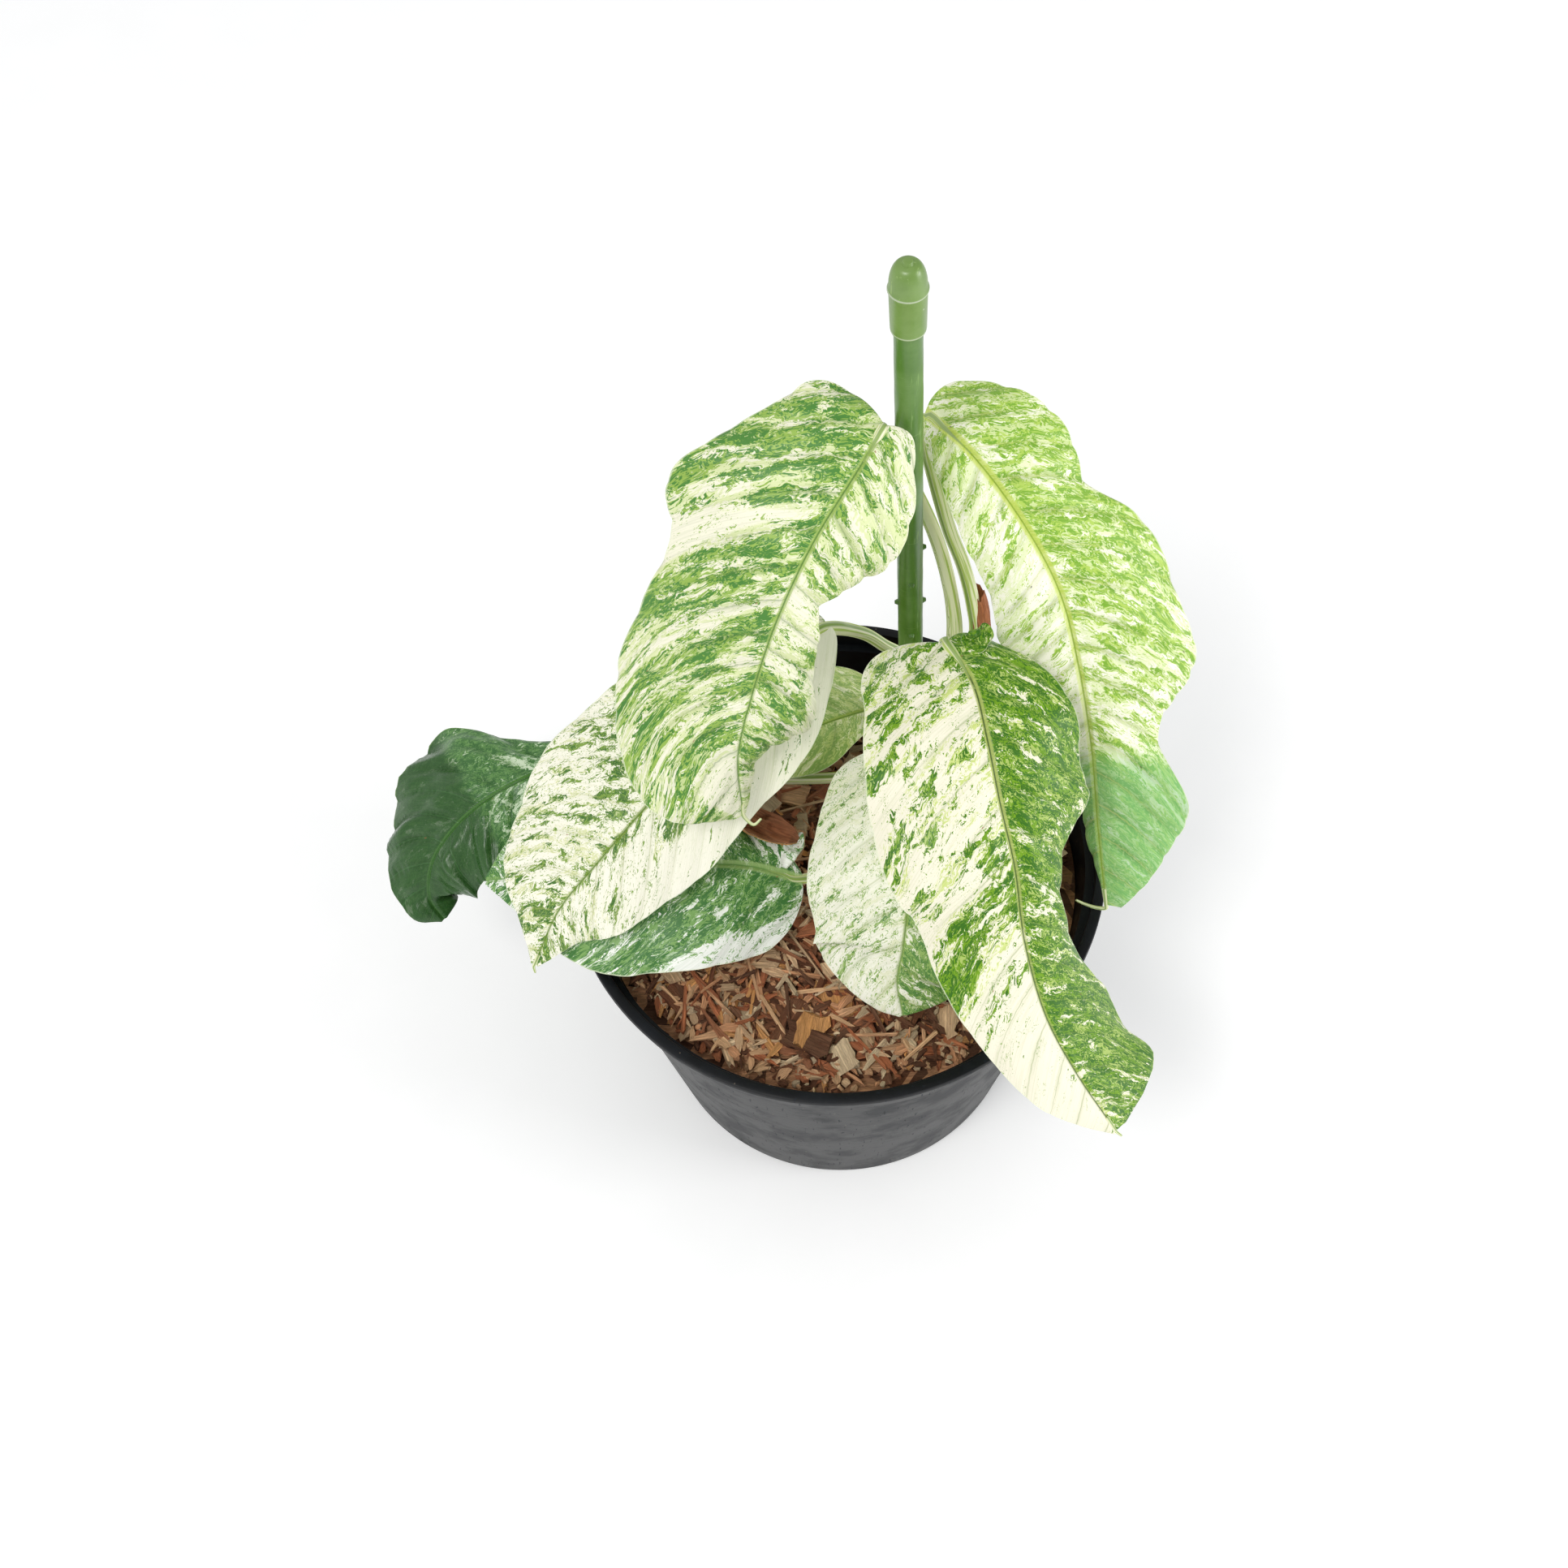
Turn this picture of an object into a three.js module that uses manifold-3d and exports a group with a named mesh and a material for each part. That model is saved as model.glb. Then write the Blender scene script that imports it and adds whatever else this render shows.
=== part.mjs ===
// A potted variegated climbing aroid: a thin plastic nursery pot, a coarse bark mix, a capped plant stake,
// and one short climbing stem with eight marbled leaves.
// Millimetres, +Z up. The origin is the centre of the pot's flat underside, and -Y faces the viewer.

import * as THREE from 'three';
import { mergeVertices } from 'three/addons/utils/BufferGeometryUtils.js';
import Module from 'manifold-3d';

const wasm = await Module();
wasm.setup();

// Driving dimensions of the pot

const POT_HEIGHT = 112;
const RIM_RADIUS = 75;
const RIM_WIDTH = 3;
const RIM_DEPTH = 2;
const RIM_ROUND = 0.6;
const COLLAR_HEIGHT = 8;
const COLLAR_RADIUS = 73.4;
const SHOULDER_RADIUS = 71;
const BASE_RADIUS = 56.5;
const BASE_CHAMFER = 2;
const WALL = 1.35;
const FLOOR = 1.6;
const ROUND_SIDES = 48;
const DRAIN_HOLES = 8;
const DRAIN_RADIUS = 4.5;
const DRAIN_RING = 45;

// Driving dimensions of the bark mix

const GAP = 0.3;
const MIX_EDGE_HEIGHT = 95.5;
const MIX_CROWN_HEIGHT = 98;
const CHIP_COUNT = 64;
const CHIP_FIELD_RADIUS = 63;
const CHIP_TOP = 100.7;
const CHIP_SEED = 20611;
const CHIP_MIN = [9, 4.5, 2.6];
const CHIP_SPREAD = [13, 4, 2];
const CHIP_WALL_SPREAD = 7;
const CHIP_WALL_RADIUS = 48;
const STEM_CLEARING = 12;

// Driving dimensions of the stake and its cap

const STAKE_AXIS = [23.3, 37.5, 160];
const STAKE_LEAN = 1.5;
const STAKE_RADIUS = 3.3;
const STAKE_SIDES = 12;
const STAKE_FOOT = 22;
const STAKE_POINT = 12;
const STAKE_TOP = 284;
const NUB_START = 106;
const NUB_END = 206;
const NUB_PITCH = 11.5;
const NUB_HEIGHT = 0.8;
const NUB_FOOT_RADIUS = 1.2;
const NUB_TIP_RADIUS = 0.45;
const CAP_FOOT = 277;
const CAP_TOP = 297;
const CAP_SKIRT_RADIUS = 3.95;
const CAP_SHOULDER_RADIUS = 4.5;
const CAP_SHOULDER = 289;
const CAP_SEAM = 0.3;
const CAP_NIB_RADIUS = 1.3;

// Driving dimensions of the plant

const STEM_ROUTE = [[29, 26, 58], [30, 27.5, 82], [31.5, 29.5, 104], [34, 32, 126], [36.5, 34.5, 152]];
const STEM_FOOT_RADIUS = 4.2;
const STEM_TOP_RADIUS = 3.4;
const STEM_NODE_SWELL = 0.45;
const STEM_NODES = 7;
const SHEATH_ROUTE = [[39.6, 33.4, 147], [41.6, 34.8, 157], [41.4, 36.8, 167], [39.8, 38.8, 176]];
const SHEATH_RADIUS = 3.3;
const SHEATH_TAPER = 0.7;
const BLADE_THICKNESS = 0.8;
const RIB_DEPTH = 1.4;
const BASE_ROUNDING = 0.12;
const STALK_FLARE = 0.5;
const STALK_TAPER = 0.8;
const STALK_RUN_IN = [[0.01, 0.5], [0.07, 0.9], [0.14, 1]];
const DRIP_RADIUS = 0.85;
const DRIP_END_RADIUS = 0.4;
const COLUMNS = [0, 0.1, 0.4, 0.72, 1];

// Each leaf: its stalk and midrib as points, and the turn of the blade about the midrib in degrees. Each
// side, as seen with the tip pointing at the viewer, has its half-width along the midrib and the angles of
// the blade at the midrib (fold) and at the margin (droop). Along the midrib 0 is the base and 1 the tip.
// Sweep leans the side veins back (negative) or forward, as a share of the half-width. Drip is the thin
// curled tip.
const LEAVES = [
  {
    name: 'leaf_upper_left',
    colour: 0xa9c48a,
    stalk: [
      [35, 35.6, 148], [34.8, 38.6, 164], [32.4, 41.6, 181], [28.4, 44.4, 197],
      [22.3, 46.4, 214], [14.6, 42.6, 235],
    ],
    stalkRadius: 1.8,
    midrib: [
      [15, 33, 251], [8, 22, 249], [-3, 11, 238], [-12, 3, 221], [-19, -3, 200], [-24, -9, 180],
      [-24, -15, 162],
    ],
    turn: [[0, -20], [0.5, -28], [1, -25]],
    sweep: [[0, -0.7], [0.25, 0.15], [1, 0.25]],
    left: {
      width: [
        [0, 12], [0.06, 18], [0.15, 24], [0.3, 36.5], [0.42, 32], [0.55, 32.5], [0.68, 35.5],
        [0.8, 30], [0.92, 18], [1, 3],
      ],
      fold: [[0, 8], [1, 8]],
      droop: [[0, -30], [1, -25]],
    },
    right: {
      width: [
        [0, 11], [0.06, 11.6], [0.2, 19], [0.33, 22], [0.4, 16.5], [0.45, 10], [0.55, 14],
        [0.7, 19.5], [0.82, 18], [0.92, 10], [1, 1],
      ],
      fold: [[0, 8], [0.35, -15], [1, -15]],
      droop: [[0, -35], [0.35, -65], [1, -60]],
    },
    waves: { height: 1.2, count: 4 },
    drip: [[-23, -15.7, 160], [-21.4, -16.6, 159], [-19.5, -15.8, 160.4]],
    rows: 19,
  },
  {
    name: 'leaf_upper_right',
    colour: 0xb9cf6b,
    stalk: [
      [38.4, 33, 146], [40.6, 35, 160], [39.4, 37, 172], [36.6, 39, 186], [32.6, 41.6, 199],
      [29.4, 45.4, 212], [27.2, 50.2, 222],
    ],
    stalkRadius: 1.8,
    midrib: [
      [27, 55, 228], [37, 43, 226], [48, 30, 216], [57, 19, 201], [62, 9, 183], [66, -2, 161],
      [68, -15, 141], [70, -29, 124],
    ],
    turn: [[0, 10], [0.5, 18], [0.75, 22], [1, 35]],
    sweep: [[0, -0.7], [0.25, 0.15], [1, 0.25]],
    left: {
      width: [
        [0, 4], [0.06, 5.5], [0.15, 10.5], [0.22, 13.5], [0.35, 17], [0.5, 18.4], [0.65, 19],
        [0.72, 13], [0.8, 7.5], [0.9, 9], [1, 1],
      ],
      fold: [[0, 8], [0.55, 5], [0.72, -30], [1, -40]],
      droop: [[0, -30], [0.3, -45], [0.55, -45], [0.72, -75], [1, -85]],
    },
    right: {
      width: [
        [0, 12], [0.06, 17], [0.2, 24], [0.28, 21.5], [0.37, 28], [0.5, 31], [0.6, 30],
        [0.7, 18.5], [0.8, 24], [0.9, 17], [1, 4],
      ],
      fold: [[0, 8], [1, 8]],
      droop: [[0, -30], [1, -30]],
    },
    waves: { height: 1.2, count: 5 },
    drip: [[69.9, -29.5, 122.6], [67.5, -28.6, 121.6], [64.8, -27.6, 122], [62.3, -27, 123.6]],
    rows: 20,
  },
  {
    name: 'leaf_front',
    colour: 0xb4c88c,
    stalk: [[35, 30.6, 132], [34.8, 28.2, 142], [34, 26, 154], [32.4, 22.6, 168], [30.2, 18, 182]],
    stalkRadius: 1.8,
    midrib: [
      [29, 14, 190], [34, -1, 194], [36, -16, 192], [38, -29, 184], [41, -41, 172],
      [43, -53, 156], [48, -65, 138], [56, -75, 122], [66, -86, 108],
    ],
    turn: [[0, -8], [1, -8]],
    sweep: [[0, -0.7], [0.25, 0.15], [1, 0.25]],
    left: {
      width: [
        [0, 23], [0.06, 24], [0.15, 28], [0.3, 32], [0.4, 32], [0.55, 26], [0.7, 20],
        [0.85, 13.7], [0.93, 8], [1, 1],
      ],
      fold: [[0, 8], [1, 8]],
      droop: [[0, -35], [1, -30]],
    },
    right: {
      width: [
        [0, 11], [0.06, 14], [0.2, 25], [0.35, 27], [0.43, 25.5], [0.5, 17.5], [0.57, 12.5],
        [0.7, 20], [0.8, 24], [0.88, 25.5], [0.95, 25], [1, 4],
      ],
      fold: [[0, 20], [0.3, 8], [1, 8]],
      droop: [[0, -25], [0.45, -45], [0.65, -45], [1, -20]],
    },
    waves: { height: 1.2, count: 5 },
    drip: [[66.6, -86.4, 107.4], [67.6, -87, 106.6]],
    rows: 21,
  },
  {
    name: 'leaf_left',
    colour: 0xd3d9ae,
    stalk: [[34.4, 34.6, 126], [30.4, 41.6, 131], [24, 44.6, 137], [17.6, 44.2, 144], [10.6, 43, 153.5]],
    stalkRadius: 1.7,
    midrib: [
      [1, 38, 166], [-16, 22, 167], [-32, 7, 162], [-48, -4, 152], [-63, -14, 140],
      [-75, -22, 129], [-83, -32, 118],
    ],
    turn: [[0, -15], [1, -15]],
    sweep: [[0, -0.6], [0.25, 0.1], [1, 0.25]],
    left: {
      width: [
        [0, 9], [0.06, 12.6], [0.2, 23.5], [0.35, 30.6], [0.5, 33.6], [0.7, 29], [0.8, 21.6],
        [0.88, 10.5], [0.95, 4.5], [1, 1],
      ],
      fold: [[0, 8], [1, 8]],
      droop: [[0, -30], [1, -30]],
    },
    right: {
      width: [
        [0, 7], [0.06, 10.5], [0.2, 21], [0.35, 22.5], [0.5, 23.4], [0.65, 20], [0.8, 13.8],
        [0.9, 7.4], [1, 1],
      ],
      fold: [[0, 8], [1, 8]],
      droop: [[0, -30], [1, -30]],
    },
    waves: { height: 0.9, count: 4 },
    drip: [[-83.4, -32.4, 117.2], [-83.2, -33.4, 115.6]],
    rows: 17,
  },
  {
    name: 'leaf_low_left',
    colour: 0x4f7a4a,
    stalk: [[30.4, 26, 104], [24, 17, 105], [16, 7, 106.6], [3, -6, 110.4]],
    stalkRadius: 1.6,
    midrib: [
      [-10, -12, 117], [-23, -10, 123], [-36, -10, 127], [-51, -9, 129], [-66, -9, 128],
      [-82, -9, 125], [-96, -7, 120],
    ],
    turn: [[0, -18], [1, -20]],
    sweep: [[0, -0.5], [0.25, 0.1], [1, 0.25]],
    left: {
      width: [
        [0, 3], [0.1, 7], [0.2, 14], [0.3, 19.5], [0.45, 22], [0.6, 22], [0.75, 18.5],
        [0.9, 11.5], [1, 1],
      ],
      fold: [[0, 6], [1, 6]],
      droop: [[0, -20], [1, -20]],
    },
    right: {
      width: [
        [0, 10], [0.06, 17], [0.15, 24.6], [0.3, 28.5], [0.5, 31.4], [0.65, 28], [0.78, 20],
        [0.88, 9.5], [1, 1],
      ],
      fold: [[0, 6], [1, 6]],
      droop: [[0, -20], [1, -20]],
    },
    waves: { height: 0.9, count: 3 },
    rows: 15,
  },
  {
    name: 'leaf_far_left',
    colour: 0x3f6b3a,
    stalk: [[31, 29.6, 105.6], [20, 28, 105], [0, 25.6, 106], [-28, 26, 109.6], [-52, 28.6, 113.6]],
    stalkRadius: 1.6,
    midrib: [
      [-70, 30, 117], [-83, 26, 119], [-95, 22, 116], [-106, 17, 110], [-115, 11, 100],
      [-118, 5, 89], [-115, 1, 82],
    ],
    turn: [[0, -5], [1, -5]],
    sweep: [[0, -0.5], [0.25, 0.1], [1, 0.25]],
    left: {
      width: [
        [0, 6], [0.1, 10], [0.25, 21], [0.4, 33], [0.55, 27], [0.69, 22], [0.78, 12], [0.9, 6],
        [1, 1],
      ],
      fold: [[0, 6], [1, 6]],
      droop: [[0, -25], [1, -35]],
    },
    right: {
      width: [
        [0, 3], [0.1, 7], [0.2, 14.7], [0.35, 17], [0.6, 17.4], [0.78, 14], [0.9, 12], [0.95, 8],
        [1, 1],
      ],
      fold: [[0, 6], [1, 6]],
      droop: [[0, -30], [1, -40]],
    },
    waves: { height: 2, count: 4 },
    rows: 16,
  },
  {
    name: 'leaf_centre',
    colour: 0xc3cf9c,
    stalk: [[33, 29, 114], [30.4, 24.6, 122], [26.4, 18.8, 132]],
    stalkRadius: 1.5,
    midrib: [
      [21, 12, 140], [20, -5, 143], [18, -18, 141], [17, -29, 135], [15, -39, 128],
      [13, -45, 120], [14, -52, 113],
    ],
    turn: [[0, 0], [1, 0]],
    sweep: [[0, -0.6], [0.25, 0.1], [1, 0.25]],
    left: {
      width: [
        [0, 15], [0.06, 18], [0.2, 25], [0.4, 27], [0.6, 25], [0.75, 23], [0.85, 12], [0.95, 5],
        [1, 1],
      ],
      fold: [[0, 6], [1, 6]],
      droop: [[0, -25], [1, -25]],
    },
    right: {
      width: [
        [0, 15], [0.06, 17], [0.2, 23.4], [0.4, 25.5], [0.6, 23], [0.75, 18.5], [0.9, 18],
        [0.96, 10], [1, 1],
      ],
      fold: [[0, 6], [1, 6]],
      droop: [[0, -25], [1, -25]],
    },
    waves: { height: 0.9, count: 3 },
    rows: 15,
  },
  {
    name: 'leaf_small',
    colour: 0x6f9650,
    stalk: [[32, 31.6, 109.6], [30.6, 39, 112], [26.4, 45, 113]],
    stalkRadius: 1.3,
    midrib: [[20, 46, 112], [11, 40, 118], [3, 36, 121], [-4, 33, 122], [-12, 32, 120], [-21, 31, 116]],
    turn: [[0, 0], [1, 0]],
    sweep: [[0, -0.4], [0.25, 0.1], [1, 0.25]],
    left: {
      width: [[0, 10], [0.1, 17], [0.2, 21], [0.4, 20], [0.6, 17.7], [0.8, 12.4], [0.9, 7], [1, 1]],
      fold: [[0, 6], [1, 6]],
      droop: [[0, -15], [1, -15]],
    },
    right: {
      width: [[0, 2], [0.15, 4], [0.3, 8], [0.5, 12], [0.65, 14], [0.8, 12.3], [0.9, 8.7], [1, 1]],
      fold: [[0, 6], [1, 6]],
      droop: [[0, -15], [1, -15]],
    },
    waves: { height: 0.6, count: 3 },
    rows: 13,
  },
];

const vector = (p) => new THREE.Vector3(...p);
const radians = THREE.MathUtils.degToRad;

// Solids: every shape below is a closed triangle mesh, joined and cut as a manifold.

function toSolid(geometry) {
  const bare = geometry.clone();
  bare.deleteAttribute('normal');
  bare.deleteAttribute('uv');
  const merged = mergeVertices(bare, 1e-4);
  const position = merged.getAttribute('position').array;
  const index = Uint32Array.from(merged.index.array).filter((_, i, all) => {
    const t = i - (i % 3);
    return all[t] !== all[t + 1] && all[t + 1] !== all[t + 2] && all[t] !== all[t + 2];
  });
  let volume = 0;
  const corner = [new THREE.Vector3(), new THREE.Vector3(), new THREE.Vector3()];
  for (let i = 0; i < index.length; i += 3) {
    corner.forEach((c, k) => c.fromArray(position, 3 * index[i + k]));
    volume += corner[0].dot(corner[1].clone().cross(corner[2]));
  }
  if (volume < 0) index.reverse();
  const mesh = new wasm.Mesh({ numProp: 3, vertProperties: Float32Array.from(position), triVerts: index });
  return new wasm.Manifold(mesh);
}

function largestPiece(solid) {
  return solid.decompose().sort((a, b) => b.volume() - a.volume())[0];
}

function toMesh(name, solid, colour, roughness, metalness = 0) {
  const { vertProperties, triVerts } = solid.getMesh();
  const geometry = new THREE.BufferGeometry();
  geometry.setAttribute('position', new THREE.BufferAttribute(vertProperties, 3));
  geometry.setIndex(new THREE.BufferAttribute(triVerts, 1));
  geometry.computeVertexNormals();
  const material = new THREE.MeshStandardMaterial({ color: colour, roughness, metalness });
  const mesh = new THREE.Mesh(geometry, material);
  mesh.name = name;
  return mesh;
}

// A profile of [radius, height] points, turned about the vertical axis.
function turned(profile, sides = ROUND_SIDES) {
  const points = [...profile, profile[0]].map(([r, z]) => new THREE.Vector2(r, z));
  return new THREE.LatheGeometry(points, sides).rotateX(Math.PI / 2);
}

// Moves what was made about the vertical axis onto the stake's axis, which leans a little to the left.
function ontoStake(geometry) {
  const [x, y, z] = STAKE_AXIS;
  return geometry.translate(0, 0, -z).rotateY(radians(-STAKE_LEAN)).translate(x, y, z);
}

// A round bar along a smooth route, with its radius as a function of the share of its length.
function bar(route, radius, steps, sides) {
  const curve = new THREE.CatmullRomCurve3(route.map(vector), false, 'catmullrom', 0.5);
  const { normals, binormals } = curve.computeFrenetFrames(steps, false);
  const corners = [];
  const faces = [];
  for (let i = 0; i <= steps; i++) {
    const centre = curve.getPointAt(i / steps);
    const size = radius(i / steps);
    for (let k = 0; k < sides; k++) {
      const angle = (2 * Math.PI * k) / sides;
      const corner = centre.clone().addScaledVector(normals[i], size * Math.cos(angle));
      corners.push(corner.addScaledVector(binormals[i], size * Math.sin(angle)));
    }
  }
  const ring = (i, k) => i * sides + (k % sides);
  for (let i = 0; i < steps; i++) {
    for (let k = 0; k < sides; k++) {
      const [a, b, c, d] = [ring(i, k), ring(i, k + 1), ring(i + 1, k + 1), ring(i + 1, k)];
      faces.push(a, b, c, a, c, d);
    }
  }
  for (let k = 1; k < sides - 1; k++) {
    faces.push(ring(0, 0), ring(0, k + 1), ring(0, k), ring(steps, 0), ring(steps, k), ring(steps, k + 1));
  }
  return shell(corners, faces);
}

function shell(corners, faces) {
  const geometry = new THREE.BufferGeometry().setFromPoints(corners);
  geometry.setIndex(faces);
  return geometry;
}

// A repeatable stream of numbers from 0 to 1.
function seeded(seed) {
  let state = seed;
  return () => {
    state = (Math.imul(state, 1664525) + 1013904223) >>> 0;
    return state / 2 ** 32;
  };
}

// The value of a list of [place, value] knots at a place, as a smooth curve through the knots.
function along(knots, place) {
  const last = knots.length - 1;
  if (place <= knots[0][0]) return knots[0][1];
  if (place >= knots[last][0]) return knots[last][1];
  const i = knots.findIndex(([at]) => at > place) - 1;
  const slope = (j) => {
    const from = knots[Math.max(j - 1, 0)];
    const to = knots[Math.min(j + 1, last)];
    return (to[1] - from[1]) / (to[0] - from[0]);
  };
  const span = knots[i + 1][0] - knots[i][0];
  const f = (place - knots[i][0]) / span;
  const rise = (2 * f - 3) * f * f;
  return (
    (1 + rise) * knots[i][1] - rise * knots[i + 1][1] +
    f * (1 - f) * (1 - f) * span * slope(i) - f * f * (1 - f) * span * slope(i + 1)
  );
}

// The same, with straight lines between the knots.
function straight(knots, place) {
  const i = Math.max(1, knots.findIndex(([at], k) => k > 0 && (at >= place || k === knots.length - 1)));
  const f = THREE.MathUtils.clamp((place - knots[i - 1][0]) / (knots[i][0] - knots[i - 1][0]), 0, 1);
  return THREE.MathUtils.lerp(knots[i - 1][1], knots[i][1], f);
}

// The leaf's own axes at a place on its midrib: forward to the tip, across to the right side, and out of
// the face.
function leafFrame(leaf, place) {
  const curve = new THREE.CatmullRomCurve3(leaf.midrib.map(vector), false, 'catmullrom', 0.5);
  const origin = curve.getPoint(place);
  const before = curve.getPoint(Math.max(0, place - 0.01));
  const forward = curve.getPoint(Math.min(1, place + 0.01)).sub(before).normalize();
  const level = new THREE.Vector3(0, 0, 1).cross(forward).normalize();
  const upright = forward.clone().cross(level);
  const turn = radians(along(leaf.turn, place));
  const across = level.clone().multiplyScalar(Math.cos(turn)).addScaledVector(upright, Math.sin(turn));
  const out = upright.multiplyScalar(Math.cos(turn)).addScaledVector(level, -Math.sin(turn));
  return { origin, forward, across, out };
}

// A point of the blade and its outward direction. Reach runs from 0 at the midrib to 1 at the margin.
function bladePoint(leaf, frame, place, side, reach) {
  const half = side > 0 ? leaf.right : leaf.left;
  const rounding = Math.sqrt(1 - (1 - Math.min(1, place / BASE_ROUNDING)) ** 2);
  const width = Math.max(1, along(half.width, place) * rounding);
  const fold = radians(straight(half.fold, place));
  const bend = radians(straight(half.droop, place)) - fold;
  const angle = fold + bend * reach;
  const outward = (Math.sin(angle) - Math.sin(fold)) / bend;
  const lift = (Math.cos(fold) - Math.cos(angle)) / bend;
  const phase = side > 0 ? 0.3 : 0;
  const wave = leaf.waves.height * Math.sin(2 * Math.PI * (leaf.waves.count * place + phase));
  const fade = Math.min(1, width / 15) * reach * reach;
  const out = frame.across.clone().multiplyScalar(-side * Math.sin(angle));
  out.addScaledVector(frame.out, Math.cos(angle));
  const point = frame.origin.clone().addScaledVector(frame.across, side * width * outward);
  point.addScaledVector(frame.out, width * lift);
  point.addScaledVector(frame.forward, width * straight(leaf.sweep, place) * reach * reach);
  point.addScaledVector(out, wave * fade);
  return { point, out };
}

// The blade: two faces with alike triangles, thicker under the midrib, closed along the margin.
function blade(leaf) {
  const reaches = [...COLUMNS.slice(1).reverse().map((r) => [-1, r]), ...COLUMNS.map((r) => [1, r])];
  const columns = reaches.length;
  const corners = [[], []];
  for (let i = 0; i <= leaf.rows; i++) {
    const place = (i / leaf.rows) ** 1.35;
    const frame = leafFrame(leaf, place);
    for (const [side, reach] of reaches) {
      const { point, out } = bladePoint(leaf, frame, place, side, reach);
      const rib = reach === 0 ? RIB_DEPTH * (1 - 0.75 * place) : 0;
      corners[0].push(point.clone().addScaledVector(out, BLADE_THICKNESS / 2));
      corners[1].push(point.clone().addScaledVector(out, -BLADE_THICKNESS / 2 - rib));
    }
  }
  const under = corners[0].length;
  const faces = [];
  const quad = (a, b, c, d) => faces.push(a, b, c, a, c, d);
  const at = (i, k) => i * columns + k;
  for (let i = 0; i < leaf.rows; i++) {
    for (let k = 0; k < columns - 1; k++) {
      const [a, b, c, d] = [at(i, k), at(i, k + 1), at(i + 1, k + 1), at(i + 1, k)];
      faces.push(a, b, c, a, c, d);
      faces.push(under + a, under + c, under + b, under + a, under + d, under + c);
    }
    const [left, leftNext] = [at(i, 0), at(i + 1, 0)];
    const [right, rightNext] = [at(i, columns - 1), at(i + 1, columns - 1)];
    quad(left, leftNext, under + leftNext, under + left);
    quad(rightNext, right, under + right, under + rightNext);
  }
  for (let k = 0; k < columns - 1; k++) {
    quad(at(0, k + 1), at(0, k), under + at(0, k), under + at(0, k + 1));
    quad(at(leaf.rows, k), at(leaf.rows, k + 1), under + at(leaf.rows, k + 1), under + at(leaf.rows, k));
  }
  return shell([...corners[0], ...corners[1]], faces);
}

// A point just under the midrib, where the stalk runs into the blade.
function underMidrib(leaf, place, depth) {
  const frame = leafFrame(leaf, place);
  return frame.origin.addScaledVector(frame.out, -depth).toArray();
}

function stalk(leaf) {
  const runIn = STALK_RUN_IN.map(([place, depth]) => underMidrib(leaf, place, depth));
  const route = [...leaf.stalk, ...runIn];
  const radius = (s) => {
    const flare = STALK_FLARE * Math.max(0, 1 - s / 0.2);
    return leaf.stalkRadius + flare - STALK_TAPER * Math.max(0, (s - 0.75) / 0.25);
  };
  return bar(route, radius, 2 * route.length, 7);
}

function dripTip(leaf) {
  const start = leafFrame(leaf, 0.97).origin.toArray();
  const radius = (s) => THREE.MathUtils.lerp(DRIP_RADIUS, DRIP_END_RADIUS, s);
  return bar([start, leaf.midrib.at(-1), ...leaf.drip], radius, 5, 5);
}

// The sub-parts

function pot() {
  const ledge = POT_HEIGHT - COLLAR_HEIGHT;
  const rimFoot = POT_HEIGHT - RIM_DEPTH;
  const inner = RIM_RADIUS - RIM_WIDTH;
  const shape = toSolid(turned([
    [0, 0],
    [BASE_RADIUS - BASE_CHAMFER, 0],
    [BASE_RADIUS, BASE_CHAMFER],
    [SHOULDER_RADIUS, ledge],
    [COLLAR_RADIUS, ledge],
    [RIM_RADIUS - RIM_ROUND, rimFoot - RIM_ROUND],
    [RIM_RADIUS, rimFoot],
    [RIM_RADIUS, POT_HEIGHT - RIM_ROUND],
    [RIM_RADIUS - RIM_ROUND, POT_HEIGHT],
    [inner + RIM_ROUND, POT_HEIGHT],
    [inner, POT_HEIGHT - RIM_ROUND],
    [inner, ledge + WALL],
    [SHOULDER_RADIUS - WALL, ledge + WALL],
    [BASE_RADIUS - WALL, FLOOR],
    [0, FLOOR],
  ]));
  const holes = [];
  for (let i = 0; i < DRAIN_HOLES; i++) {
    const angle = (2 * Math.PI * i) / DRAIN_HOLES;
    const hole = new THREE.CylinderGeometry(DRAIN_RADIUS, DRAIN_RADIUS, 4 * FLOOR, 16).rotateX(Math.PI / 2);
    holes.push(toSolid(hole.translate(DRAIN_RING * Math.cos(angle), DRAIN_RING * Math.sin(angle), 0)));
  }
  return shape.subtract(wasm.Manifold.union(holes));
}

// The radius of the pot's inner wall at a height.
function potInside(height) {
  const ledge = POT_HEIGHT - COLLAR_HEIGHT + WALL;
  return THREE.MathUtils.mapLinear(height, FLOOR, ledge, BASE_RADIUS - WALL, SHOULDER_RADIUS - WALL);
}

function mixSurface(radius) {
  const share = radius / potInside(MIX_EDGE_HEIGHT);
  return THREE.MathUtils.lerp(MIX_CROWN_HEIGHT, MIX_EDGE_HEIGHT, share ** 2);
}

// One flake of bark: a flat block with uneven corners.
function barkChip(random, size) {
  const flake = new THREE.BoxGeometry(...size);
  flake.deleteAttribute('normal');
  flake.deleteAttribute('uv');
  const block = mergeVertices(flake);
  const position = block.getAttribute('position');
  for (let i = 0; i < position.count; i++) {
    position.setX(i, position.getX(i) * (0.7 + 0.5 * random()));
    position.setY(i, position.getY(i) * (0.55 + 0.7 * random()));
    position.setZ(i, position.getZ(i) * (0.7 + 0.5 * random()));
  }
  return block;
}

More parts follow.
